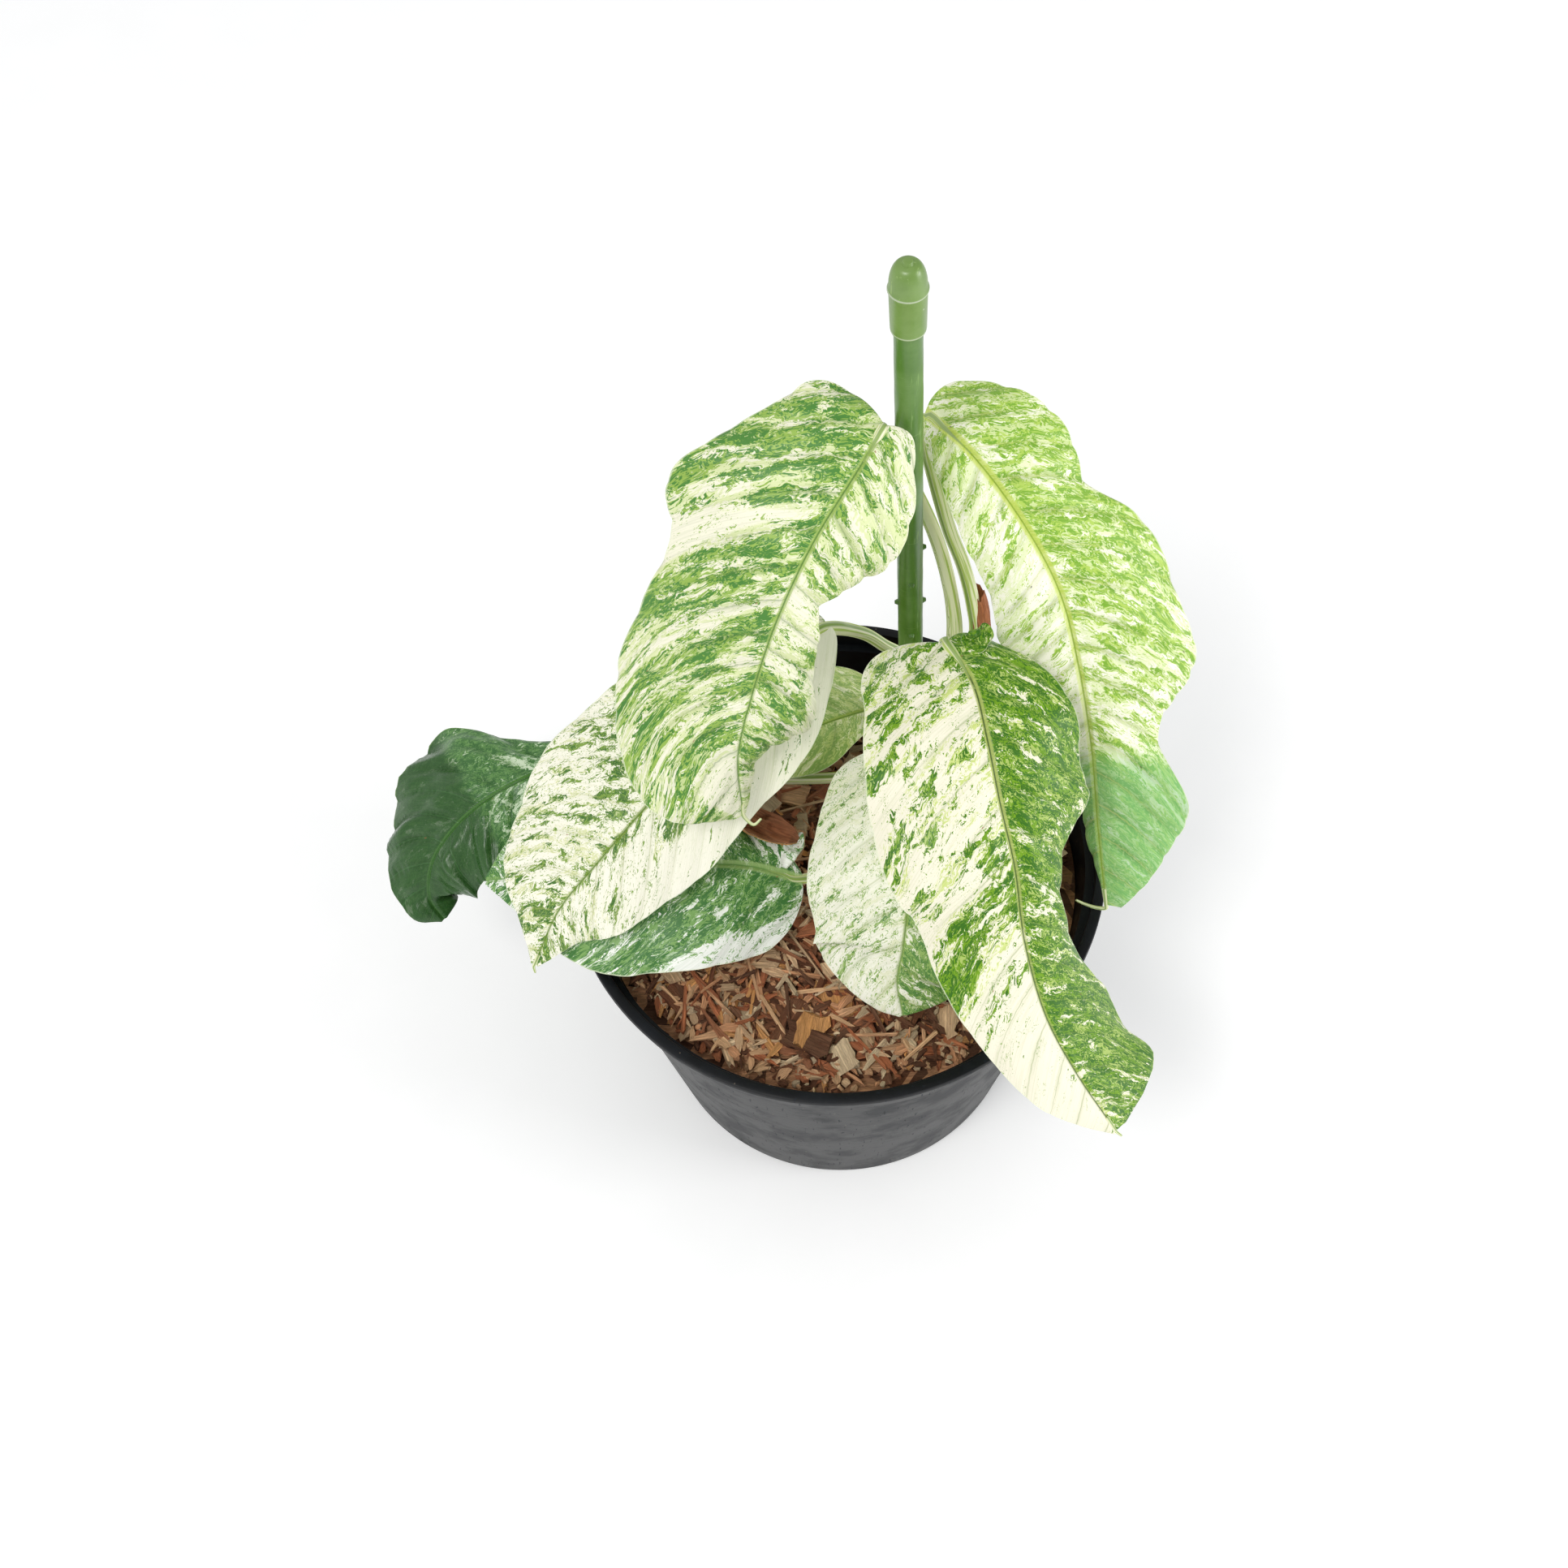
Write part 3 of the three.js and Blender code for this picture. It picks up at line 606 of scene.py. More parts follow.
def make_piece(
    name: str,
    mesh: BMesh,
    material: Material,
    stands_for: Sequence[str] = (),
    crease: float = 40.0,
) -> Object:
    """Turns a mesh in millimetres into a finished piece of the object.

    Args:
        name: The piece's name.
        mesh: Its mesh, in millimetres and in place.
        material: Its material.
        stands_for: The solid model's nodes that it replaces.
        crease: The angle in degrees above which an edge stays sharp.

    Returns:
        The piece.
    """
    bmesh.ops.scale(mesh, vec=(MM, MM, MM), verts=mesh.verts)
    data = bpy.data.meshes.new(name)
    mesh.to_mesh(data)
    mesh.free()
    data.shade_smooth()
    data.set_sharp_from_angle(angle=math.radians(crease))
    data.materials.append(material)
    piece = bpy.data.objects.new(name, data)
    bpy.context.scene.collection.objects.link(piece)
    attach(piece, BODY)
    if stands_for:
        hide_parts(*stands_for)
    LOG.info("%s: %d faces", name, len(data.polygons))
    return piece


def vectors(mesh: BMesh, *names: str) -> list[BMLayerItem]:
    """Gives the corners of a mesh a vector attribute for each name."""
    return [mesh.verts.layers.float_vector.new(name) for name in names]


def turned(profile: Sequence[tuple[float, float]], sides: int) -> BMesh:
    """Turns a profile about the vertical axis.

    Args:
        profile: Radius and height of each point, in order along the surface.
        sides: How many steps make the full turn.

    Returns:
        The closed turned mesh, with its faces pointing out.
    """
    mesh = bmesh.new()
    corners = [bmesh.ops.create_vert(mesh, co=(r, 0, z))["vert"][0] for r, z in profile]
    edges = [mesh.edges.new(pair) for pair in zip(corners, corners[1:])]
    if profile[0][0] > 0:
        edges.append(mesh.edges.new((corners[-1], corners[0])))
    bmesh.ops.spin(
        mesh, geom=corners + edges, cent=(0, 0, 0), axis=(0, 0, 1), angle=2 * math.pi, steps=sides,
        use_merge=True,
    )
    bmesh.ops.remove_doubles(mesh, verts=mesh.verts, dist=1e-4)
    bmesh.ops.recalc_face_normals(mesh, faces=mesh.faces)
    return mesh


@dataclass(frozen=True)
class Bar:
    """A round bar along a route, such as a stalk, with a radius that may change along and around it."""

    route: Route
    radius: Callable[[float, float], float]
    upward: Vector
    around: int
    steps: int

    def frames(self) -> list[tuple[Vector, Vector, Vector]]:
        """Carries the upward direction along the route without twisting it.

        Returns:
            At each step the centre, the upward direction and the direction to its side.
        """
        centres = self.route.evenly(self.steps)
        found = []
        up = self.upward
        for i in reversed(range(len(centres))):
            forward = centres[min(i + 1, self.steps)] - centres[max(i - 1, 0)]
            forward.normalize()
            up = (up - forward * up.dot(forward)).normalized()
            found.append((centres[i], up, forward.cross(up)))
        return found[::-1]

    def build(self) -> BMesh:
        """Builds the bar as a rolled-up grid with closed ends.

        Returns:
            The mesh. Its attribute bar_map holds the angle as a share and the length along.
        """
        mesh = bmesh.new()
        bmesh.ops.create_grid(mesh, x_segments=self.around, y_segments=self.steps, size=1)
        (bar_map,) = vectors(mesh, "bar_map")
        frames = self.frames()
        for corner in mesh.verts:
            turn = (corner.co.x + 1) / 2
            share = (corner.co.y + 1) / 2
            centre, up, side = frames[round(share * self.steps)]
            angle = 2 * math.pi * (turn - 0.5)
            radius = self.radius(share, angle)
            corner[bar_map] = (turn, share * self.route.length, 0.0)
            corner.co = centre + up * (radius * math.cos(angle)) + side * (radius * math.sin(angle))
        bmesh.ops.remove_doubles(mesh, verts=mesh.verts, dist=1e-4)
        bmesh.ops.holes_fill(mesh, edges=mesh.edges, sides=0)
        bmesh.ops.recalc_face_normals(mesh, faces=mesh.faces)
        return mesh


@dataclass(frozen=True)
class BladeFinish:
    """The colours and surface of one blade.

    Deep and fresh are its greens, cream is plain and veil is the milky green that lies over some of
    it. Rib is the midrib with rib_line along its middle, vein the side veins and stain the corky dots.
    Rim is the margin line: partly its own colour and partly a painted highlight where the edge catches
    the light. Haze, flecks and crumbs are the shares that the marbling takes, and stretch squeezes it
    along the veins. Crease is how dark the painted shade in the valleys over the side veins is. From the
    share tip_from of the length on, tip_share of tip_tint lies over the blade.
    """

    deep: Shade
    fresh: Shade
    veil: Shade
    cream: Shade
    rib: Shade
    rib_line: Shade
    vein: Shade
    haze: float
    flecks: float
    seed: float
    crumbs: float = 0.2
    crease: float = 0.6
    stretch: float = 1.0
    rib_width: float = 1.0
    rim: Shade = (232, 238, 208)
    stain: Shade = (150, 92, 58)
    tip_from: float = 1.0
    tip_share: float = 0.0
    tip_tint: Shade = (160, 200, 160)
    roughness: float = 0.4

    # The tint that darkens the creases over the side veins, as painted shade.
    VALLEY_SHADE = (206, 216, 196)
    UNDERSIDE = (196, 212, 170)
    UNDERSIDE_SHARE = 0.42
    UNDERSIDE_DULLER = 0.18
    VEIN_SHARE = 0.4
    STAIN_SHARE = 0.75
    SPECULAR = 0.36
    VEIN_RELIEF = 0.12

    def material(self, name: str, pitch: float, groups: dict[str, NodeTree]) -> Material:
        """Builds the blade's material.

        Args:
            name: The material's name.
            pitch: The distance between two side veins at the midrib.
            groups: The shared node groups by name.

        Returns:
            The material. It reads the attributes vein_map, leaf_map, green and reach of the mesh.
        """
        material, graph, shader = new_material(name)
        vein_map = graph.attribute("vein_map")
        across, place, under = graph.parts(graph.attribute("leaf_map"))
        green = graph.attribute("green", "Fac")
        reach = graph.attribute("reach", "Fac")
        out, cross, side = graph.parts(vein_map)
        marbling = graph.use(
            groups["marbling"], Vein=graph.scaled(vein_map, (self.stretch, 1.0, 1.0)), Green=green,
            Haze=self.haze, Flecks=self.flecks, Crumbs=self.crumbs, Seed=self.seed,
            Deep=self.deep, Fresh=self.fresh, Veil=self.veil, Cream=self.cream,
        )
        colour = marbling.outputs["Color"]
        near_tip = graph.span(place, self.tip_from - 0.03, self.tip_from + 0.03)
        colour = graph.mix(graph.times(near_tip, self.tip_share), colour, self.tip_tint)
        phase = graph.math("MULTIPLY_ADD", side, 0.05, graph.math("DIVIDE", cross, pitch))
        beside = graph.times(graph.math("PINGPONG", phase, 0.5), pitch)
        # Painted shade: darkens the creases over the side veins near the midrib, by up to the crease share.
        valley_shade = graph.span(beside, 2.6, 0.2)
        valley_shade = graph.times(valley_shade, graph.times(valley_shade, graph.span(out, 24.0, 6.0)))
        uneven = graph.noise(graph.scaled(vein_map, (0.12, 0.05, 1.0)), 1.0, 1.0)
        valley_shade = graph.times(valley_shade, graph.span(uneven, 0.35, 0.62, (0.05, self.crease)))
        colour = graph.mix(valley_shade, colour, graph.mix(1.0, colour, self.VALLEY_SHADE, "MULTIPLY"))
        line = graph.span(beside, 0.3, 0.08)
        line = graph.times(line, graph.span(out, 26.0, 3.0, (0.15, 1.0)))
        colour = graph.mix(graph.times(line, self.VEIN_SHARE), colour, self.vein)
        hair = graph.noise(graph.scaled(vein_map, (0.09, 2.0, 1.0)), 1.0, 2.0)
        colour = graph.mix(graph.span(hair, 0.48, 0.62, (0.0, 0.12)), colour, self.vein)
        flat = graph.math("ABSOLUTE", across)
        taper = graph.math("MULTIPLY_ADD", place, -0.5 * self.rib_width, self.rib_width)
        ridge = graph.span(flat, taper, graph.times(taper, 0.6))
        ridge = graph.times(ridge, graph.span(place, 1.1, 0.3, (0.25, 0.8)))
        colour = graph.mix(ridge, colour, self.rib)
        colour = graph.mix(graph.span(flat, 0.3, 0.1, (0.0, 0.75)), colour, self.rib_line)
        # A line in the rim colour along the margin: partly its own colour, partly a painted highlight where
        # the edge catches the light.
        colour = graph.mix(graph.span(reach, 0.985, 0.995, (0.0, 0.6)), colour, self.rim)
        dots = graph.use(
            groups["specks"], Vector=graph.scaled(vein_map, (0.19, 0.23, 1.0)), Share=0.3, Size=0.06
        ).outputs[0]
        colour = graph.mix(graph.times(dots, self.STAIN_SHARE), colour, self.stain)
        dull = graph.mix(self.UNDERSIDE_SHARE, colour, self.UNDERSIDE)
        colour = graph.mix(under, colour, dull)
        graph.put(shader.inputs["Base Color"], colour)
        smoother, rougher = self.roughness - 0.05, self.roughness + 0.07
        rough = graph.span(marbling.outputs["Grain"], 0.35, 0.65, (smoother, rougher))
        rough = graph.math("MULTIPLY_ADD", under, self.UNDERSIDE_DULLER, rough)
        graph.put(shader.inputs["Roughness"], rough)
        shader.inputs["Specular IOR Level"].default_value = self.SPECULAR
        veinlets = graph.math("MULTIPLY_ADD", line, -0.5, hair)
        relief(graph, shader, veinlets, self.VEIN_RELIEF)
        return material


@dataclass(frozen=True)
class Half:
    """One half of a blade: its half-width, and its angles at the midrib and at the margin in degrees."""

    width: Knots
    fold: Knots
    droop: Knots


@dataclass(frozen=True)
class Sector:
    """A band of a blade between two side veins, with its own share of green.

    Start and end are where the two veins leave the midrib, as shares of its length. Flare is how much
    wider the band is at the margin.
    """

    side: Side
    start: float
    end: float
    green: float
    inner: float = 0.0
    outer: float = 1.0
    soft: float = 0.02
    flare: float = 0.0

    def share(self, side: Side, along_share: float, reach: float) -> float:
        """How fully a point lies in the sector.

        Args:
            side: The point's side of the blade.
            along_share: Where its side vein leaves the midrib.
            reach: How far out it lies, from 0 at the midrib to 1 at the margin.

        Returns:
            1 well inside, 0 outside.
        """
        if side is not self.side:
            return 0.0
        start = self.start - 0.5 * self.flare * reach
        end = self.end + 0.5 * self.flare * reach
        length = smooth(along_share, start - self.soft, start + self.soft)
        length *= smooth(along_share, end + self.soft, end - self.soft)
        inside = 1.0 if self.inner <= 0 else smooth(reach, self.inner - 0.08, self.inner + 0.08)
        outside = 1.0 if self.outer >= 1 else smooth(reach, self.outer + 0.08, self.outer - 0.08)
        return length * inside * outside


class Section:
    """The cut across a blade at one place of its midrib."""

    STEP = 0.01

    def __init__(self, leaf: "Leaf", place: float) -> None:
        """Sets up the axes and the sizes of the cut.

        Args:
            leaf: The leaf.
            place: The share of the midrib, from the base to the tip.
        """
        self.place = place
        self.origin = leaf.line.at(place)
        self.length = leaf.line.length_to(place)
        behind, ahead = max(0.0, place - self.STEP), min(1.0, place + self.STEP)
        self.forward = (leaf.line.at(ahead) - leaf.line.at(behind)).normalized()
        level = Vector((0, 0, 1)).cross(self.forward).normalized()
        upright = self.forward.cross(level)
        turn = math.radians(along(leaf.turn, place))
        self.across = level * math.cos(turn) + upright * math.sin(turn)
        self.out = upright * math.cos(turn) - level * math.sin(turn)
        self.sweep = straight(leaf.sweep, place)
        rounding = math.sqrt(1 - (1 - min(1.0, place / leaf.BASE_ROUNDING)) ** 2)
        self.width = {}
        self.fold = {}
        self.bend = {}
        for side, half in ((Side.LEFT, leaf.left), (Side.RIGHT, leaf.right)):
            self.width[side] = max(leaf.LEAST_WIDTH, leaf.fit * along(half.width, place) * rounding)
            self.fold[side] = math.radians(straight(half.fold, place))
            self.bend[side] = math.radians(straight(half.droop, place)) - self.fold[side]


@dataclass(frozen=True)
class Leaf:
    """One leaf: its stalk, its blade and the thin curled tip.

    Turn rolls the blade about its midrib, in degrees, and sweep is how far the margin runs ahead of the
    midrib, as a share of the half-width. Green is the share of green along each half. Pitch is the
    distance between side veins, lean their slant on the left and on the right, and curl their bend.
    Quilt is the swelling between them, crinkle the height of uneven bumps, and fit narrows the blade a
    little, so that its waves stay inside the solid leaf's box.
    """

    node: str
    stalk: tuple[Point, ...]
    stalk_radius: float
    midrib: tuple[Point, ...]
    turn: Knots
    sweep: Knots
    left: Half
    right: Half
    wave_height: float
    wave_count: int
    finish: BladeFinish
    green: dict[Side, Knots]
    sectors: tuple[Sector, ...] = ()
    drip: tuple[Point, ...] = ()
    pitch: float = 9.5
    lean: tuple[float, float] = (0.55, 0.55)
    curl: float = 0.03
    quilt: float = 1.25
    crinkle: float = 0.4
    fit: float = 0.992
    rows: int = 140
    columns: int = 34

    BASE_ROUNDING = 0.12
    LEAST_WIDTH = 0.4
    THICKNESS = 0.56
    RIB_DEPTH = 1.3
    GROOVE_DEPTH = 0.45
    GROOVE_LIP = 0.25
    STALK_FLARE = 0.5
    STALK_TAPER = 0.8
    JOINT_SWELL = 0.22
    JOINT_BACK = 6
    CREASE = 70.0

    @cached_property
    def line(self) -> Route:
        """The midrib as a smooth line."""
        return Route(self.midrib)

    def vein_place(self, section: Section, side: Side, reach: float) -> tuple[float, float]:
        """Finds a point's place among the side veins.

        Args:
            section: The cut across the blade.
            side: The side of the blade.
            reach: From 0 at the midrib to 1 at the margin.

        Returns:
            The distance out from the midrib, and where the side vein there leaves the midrib.
        """
        out = section.width[side] * reach
        forward = section.length + section.sweep * out * reach
        curl = self.curl * (0.08 + 1.1 * section.place**2)
        return out, forward - self.lean[side is Side.RIGHT] * out - curl * out * out

    def surface(self, section: Section, side: Side, reach: float) -> tuple[Vector, Vector]:
        """Finds a point of the blade's middle surface.

        Args:
            section: The cut across the blade.
            side: The side of the blade.
            reach: From 0 at the midrib to 1 at the margin.

        Returns:
            The point and the direction out of the upper face.
        """
        width, fold, bend = section.width[side], section.fold[side], section.bend[side]
        angle = fold + bend * reach
        outward = (math.sin(angle) - math.sin(fold)) / bend
        lift = (math.cos(fold) - math.cos(angle)) / bend
        phase = 0.3 if side is Side.RIGHT else 0.0
        wave = self.wave_height * math.sin(2 * math.pi * (self.wave_count * section.place + phase))
        wave *= min(1.0, width / 15) * reach * reach
        out = section.out * math.cos(angle) - section.across * (side.value * math.sin(angle))
        point = section.origin + section.across * (side.value * width * outward)
        point += section.out * (width * lift) + section.forward * (width * section.sweep * reach * reach)
        return point + out * (wave + self.puff(section, side, reach)), out

    def puff(self, section: Section, side: Side, reach: float) -> float:
        """The height of the quilting between the side veins and of the groove along the midrib.

        Args:
            section: The cut across the blade.
            side: The side of the blade.
            reach: From 0 at the midrib to 1 at the margin.

        Returns:
            The height above the smooth blade.
        """
        out, vein = self.vein_place(section, side, reach)
        phase = vein / self.pitch + (0.5 if side is Side.RIGHT else 0.0)
        swell = abs(math.sin(math.pi * phase)) ** 0.7 - 0.65 + 0.22 * abs(math.sin(2 * math.pi * phase))
        rise = smooth(out, 0.8, 5.0) * (1 - 0.3 * reach * reach) * min(1.0, section.width[side] / 12)
        spot = Vector((0.07 * out, 0.11 * vein, self.finish.seed * 9.1 + side.value))
        uneven = self.crinkle * noise.noise(spot) + 0.4 * self.crinkle * noise.noise(spot * 2.7)
        fade = 1 - 0.6 * section.place
        groove = -self.GROOVE_DEPTH * fade * math.exp(-((out / 0.5) ** 2))
        groove += self.GROOVE_LIP * fade * math.exp(-(((out - 1.1) / 0.5) ** 2))
        return (self.quilt * swell + uneven) * rise + groove

    def share_of_green(self, section: Section, side: Side, reach: float) -> float:
        """The share of the surface that is green round a point.

        Args:
            section: The cut across the blade.
            side: The side of the blade.
            reach: From 0 at the midrib to 1 at the margin.

        Returns:
            From 0 for plain cream to 1 for plain green.
        """
        share = self.vein_place(section, side, reach)[1] / self.line.length
        green = straight(self.green[side], share)
        for sector in self.sectors:
            green += (sector.green - green) * sector.share(side, share, reach)
        return green

    def blade(self) -> BMesh:
        """Builds the blade from a grid that is shaped, then extruded to its thickness.

        Returns:
            The mesh, with the attributes that its material reads.
        """
        mesh = bmesh.new()
        bmesh.ops.create_grid(mesh, x_segments=2 * self.columns, y_segments=self.rows, size=1)
        layers = mesh.verts.layers
        vein_map, leaf_map, outward = vectors(mesh, "vein_map", "leaf_map", "outward")
        green, reached = layers.float.new("green"), layers.float.new("reach")
        sections = [Section(self, (i / self.rows) ** 1.35) for i in range(self.rows + 1)]
        for corner in mesh.verts:
            section = sections[round((corner.co.y + 1) / 2 * self.rows)]
            side = Side.RIGHT if corner.co.x > 0 else Side.LEFT
            reach = abs(corner.co.x) ** 1.5
            point, out = self.surface(section, side, reach)
            away, vein = self.vein_place(section, side, reach)
            corner[vein_map] = (away, vein, 10.0 if side is Side.RIGHT else 0.0)
            corner[leaf_map] = (side.value * away, section.place, 0.0)
            corner[green] = self.share_of_green(section, side, reach)
            corner[reached] = reach
            corner[outward] = out
            corner.co = point + out * self.half_thickness(reach)
        bmesh.ops.reverse_faces(mesh, faces=mesh.faces)
        made = bmesh.ops.extrude_face_region(mesh, geom=mesh.faces[:], use_keep_orig=True)["geom"]
        for corner in (item for item in made if isinstance(item, BMVert)):
            signed, place, _ = corner[leaf_map]
            rib = self.RIB_DEPTH * (1 - 0.75 * place) * math.exp(-((signed / 1.4) ** 2))
            depth = 2 * self.half_thickness(corner[reached]) + rib
            corner.co -= corner[outward] * depth
            corner[leaf_map] = (signed, place, 1.0)
        layers.float_vector.remove(outward)
        bmesh.ops.recalc_face_normals(mesh, faces=mesh.faces)
        return mesh

    def half_thickness(self, reach: float) -> float:
        """Half the blade's thickness, which thins out at the margin."""
        return 0.5 * self.THICKNESS * (1 - 0.5 * reach**8)

    def under_midrib(self, place: float, depth: float) -> Vector:
        """A point under the midrib, where the stalk runs into the blade."""
        section = Section(self, place)
        return section.origin - section.out * depth

    def stalk_bar(self) -> BMesh:
        """Builds the stalk, with a groove along its upper side and a swollen joint below the blade.

        Returns:
            The mesh.
        """
        run_in = [self.under_midrib(place, depth) for place, depth in ((0.01, 0.5), (0.07, 0.9), (0.14, 1.0))]
        route = Route([*self.stalk, *run_in])
        hidden = route.length - Route([*self.stalk, run_in[0]]).length
        joint = 1 - (hidden + self.JOINT_BACK) / route.length

        def radius(share: float, angle: float) -> float:
            """Works out the radius at a place on the stalk.

            Args:
                share: The share of the length.
                angle: The angle from the upper side.

            Returns:
                The radius.
            """
            size = self.stalk_radius + self.STALK_FLARE * max(0.0, 1 - share / 0.2)
            size -= self.STALK_TAPER * max(0.0, (share - 0.75) / 0.25)
            size += self.JOINT_SWELL * math.exp(-(((share - joint) * route.length / 4) ** 2))
            open_side = 1 - smooth(share, joint - 0.08, joint)
            groove = -0.3 * math.exp(-((angle / 0.42) ** 2))
            groove += 0.12 * math.exp(-(((abs(angle) - 0.8) / 0.25) ** 2))
            return size * (1 + groove * open_side)

        return Bar(route, radius, upward=Section(self, 0.05).out, around=28, steps=90).build()

    def drip_tip(self) -> BMesh:
        """Builds the thin curled tip of the blade.

        Returns:
            The mesh.
        """
        root = 0.97
        route = Route([self.line.at(root), self.midrib[-1], *self.drip])
        upward = Section(self, root).out
        return Bar(route, lambda share, angle: 0.72 - 0.42 * share, upward, around=12, steps=24).build()

    def build(self, groups: dict[str, NodeTree], stalk_finish: "StalkFinish") -> list[Object]:
        """Builds and dresses the leaf.

        Args:
            groups: The shared node groups by name.
            stalk_finish: The finish of the stalks.

        Returns:
            The leaf's pieces.
        """
        skin = self.finish.material("blade_" + self.node, self.pitch, groups)
        stalk_skin = stalk_finish.material("stalk_" + self.node, groups)
        shapes = [("blade_", self.blade(), skin, (self.node,)), ("stalk_", self.stalk_bar(), stalk_skin, ())]
        if self.drip:
            shapes.append(("tip_", self.drip_tip(), stalk_skin, ()))
        return [
            make_piece(kind + self.node, mesh, finish, stands_for, self.CREASE)
            for kind, mesh, finish, stands_for in shapes
        ]


@dataclass(frozen=True)
class Flap:
    """A small crumpled flap by a blade's base, such as a folded lobe or a dried piece.

    Face is the direction that its upper side looks in, cup its bend across in degrees, and crumple the
    height of its crumples.
    """

    name: str
    node: str
    spine: tuple[Point, ...]
    width: Knots
    face: Point
    green: float
    cup: float
    crumple: float
    seed: float
    dried: bool = False
    rows: int = 30
    columns: int = 20

    THICKNESS = 0.45
    OFF_RIB = 20.0
    DRY_SHADE = 0.38
    RIM_SHADE = 0.66
    CRUMPLES_PER_MM = 0.28
    CREASE = 60.0

    def sheet(self) -> BMesh:
        """Builds the flap from a grid that is bent about its spine and crumpled.

        Returns:
            The mesh, with the attributes that the blades' and the bark's materials read.
        """
        mesh = bmesh.new()
        bmesh.ops.create_grid(mesh, x_segments=self.columns, y_segments=self.rows, size=1)
        layers = mesh.verts.layers
        vein_map, leaf_map, grain, chip = vectors(mesh, "vein_map", "leaf_map", "grain", "chip")
        green, reached = layers.float.new("green"), layers.float.new("reach")
        line = Route(self.spine)
        for corner in mesh.verts:
            reach, share = corner.co.x, (corner.co.y + 1) / 2
            forward = (line.at(min(1.0, share + 0.03)) - line.at(max(0.0, share - 0.03))).normalized()
            across = forward.cross(Vector(self.face)).normalized()
            upward = across.cross(forward)
            width = straight(self.width, share)
            bend = math.radians(self.cup)
            lift = width * (1 - math.cos(bend * reach)) / bend
            fine = self.CRUMPLES_PER_MM
            spot = Vector((fine * width * reach, fine * share * line.length, self.seed))
            lift += self.crumple * (noise.noise(spot) + 0.5 * noise.noise(spot * 2.3))
            corner[vein_map] = (width * reach, share * line.length, 10.0)
            corner[leaf_map] = (self.OFF_RIB, 1.0, 0.0)
            corner[grain] = (share * line.length, width * reach, 0.0)
            edge = max(reach, 0.0) ** 6
            corner[chip] = (self.DRY_SHADE + (self.RIM_SHADE - self.DRY_SHADE) * edge, 0.0, 0.0)
            corner[green] = self.green
            corner[reached] = abs(reach)
            corner.co = line.at(share) + across * (width * math.sin(bend * reach) / bend) + upward * lift
        bmesh.ops.solidify(mesh, geom=mesh.faces[:], thickness=self.THICKNESS)
        bmesh.ops.recalc_face_normals(mesh, faces=mesh.faces)
        return mesh

    def build(self) -> list[Object]:
        """Builds the flap and dresses it as its leaf's blade, or as dried bark.

        Returns:
            The flap.
        """
        skin = bpy.data.materials["bark" if self.dried else "blade_" + self.node]
        return [make_piece(self.name, self.sheet(), skin, crease=self.CREASE)]


@dataclass(frozen=True)
class StalkFinish:
    """A smooth pale stalk with green lines along it."""

    pale: Shade = (242, 242, 206)
    green: Shade = (186, 206, 108)
    dark: Shade = (116, 152, 52)
    roughness: float = 0.4

    def material(self, name: str, groups: dict[str, NodeTree]) -> Material:
        """Builds the stalk's material.

        Args:
            name: The material's name.
            groups: The shared node groups by name.

        Returns:
            The material. It reads the attribute bar_map of the mesh.
        """
        material, graph, shader = new_material(name)
        turn, length, _ = graph.parts(graph.attribute("bar_map"))
        angle = graph.times(turn, 2 * math.pi)
        ring = graph.vector(graph.math("SINE", angle), graph.math("COSINE", angle), 0.0)
        place = graph.node("VectorMath", operation="ADD")
        graph.put(place.inputs[0], graph.scaled(ring, (1.6, 1.6, 0.0)))
        graph.put(place.inputs[1], graph.vector(0.0, 0.0, graph.times(length, 0.02)))
        lines = graph.noise(place.outputs[0], 1.4, 3.0, 0.6)
        colour = graph.mix(graph.span(lines, 0.48, 0.6), self.pale, self.green)
        middle = graph.math("ABSOLUTE", graph.math("SUBTRACT", turn, 0.5))
        colour = graph.mix(graph.span(middle, 0.09, 0.04, (0.0, 0.8)), colour, self.dark)
        dots_place = graph.vector(graph.times(turn, 5.0), graph.times(length, 0.3))
        dots = graph.use(groups["specks"], Vector=dots_place, Share=0.3, Size=0.08).outputs[0]
        colour = graph.mix(graph.times(dots, 0.5), colour, self.dark)
        graph.put(shader.inputs["Base Color"], colour)
        rough = graph.span(lines, 0.3, 0.7, (self.roughness, self.roughness + 0.12))
        graph.put(shader.inputs["Roughness"], rough)
        shader.inputs["Subsurface Weight"].default_value = 0.1
        shader.inputs["Subsurface Radius"].default_value = (0.6, 1.0, 0.25)
        shader.inputs["Subsurface Scale"].default_value = 1.5 * MM
        relief(graph, shader, lines, 0.1)
        return material


MARBLED = BladeFinish(
    deep=(76, 134, 54), fresh=(152, 186, 82), veil=(224, 232, 178), cream=(246, 243, 220),
    rib=(162, 188, 96), rib_line=(84, 130, 46), vein=(98, 138, 72),
    haze=0.5, flecks=0.22, crumbs=0.16, stretch=0.8, seed=1.0,
)
LIME = BladeFinish(
    deep=(124, 174, 50), fresh=(176, 208, 90), veil=(234, 242, 196), cream=(253, 251, 234),
    rib=(200, 216, 100), rib_line=(146, 178, 44), vein=(214, 224, 136), stain=(60, 54, 40),
    haze=0.5, flecks=0.36, crease=0.9, stretch=0.9, rib_width=1.7, seed=2.0,
    tip_from=0.73, tip_share=0.62, tip_tint=(122, 190, 124),
)
HALF_CREAM = BladeFinish(
    deep=(50, 108, 2), fresh=(112, 158, 14), veil=(206, 220, 134), cream=(244, 239, 217),
    rib=(184, 196, 112), rib_line=(34, 80, 12), vein=(122, 154, 56),
    haze=0.3, flecks=0.3, crumbs=0.1, crease=0.35, stretch=1.2, rib_width=1.2, seed=3.0,
)
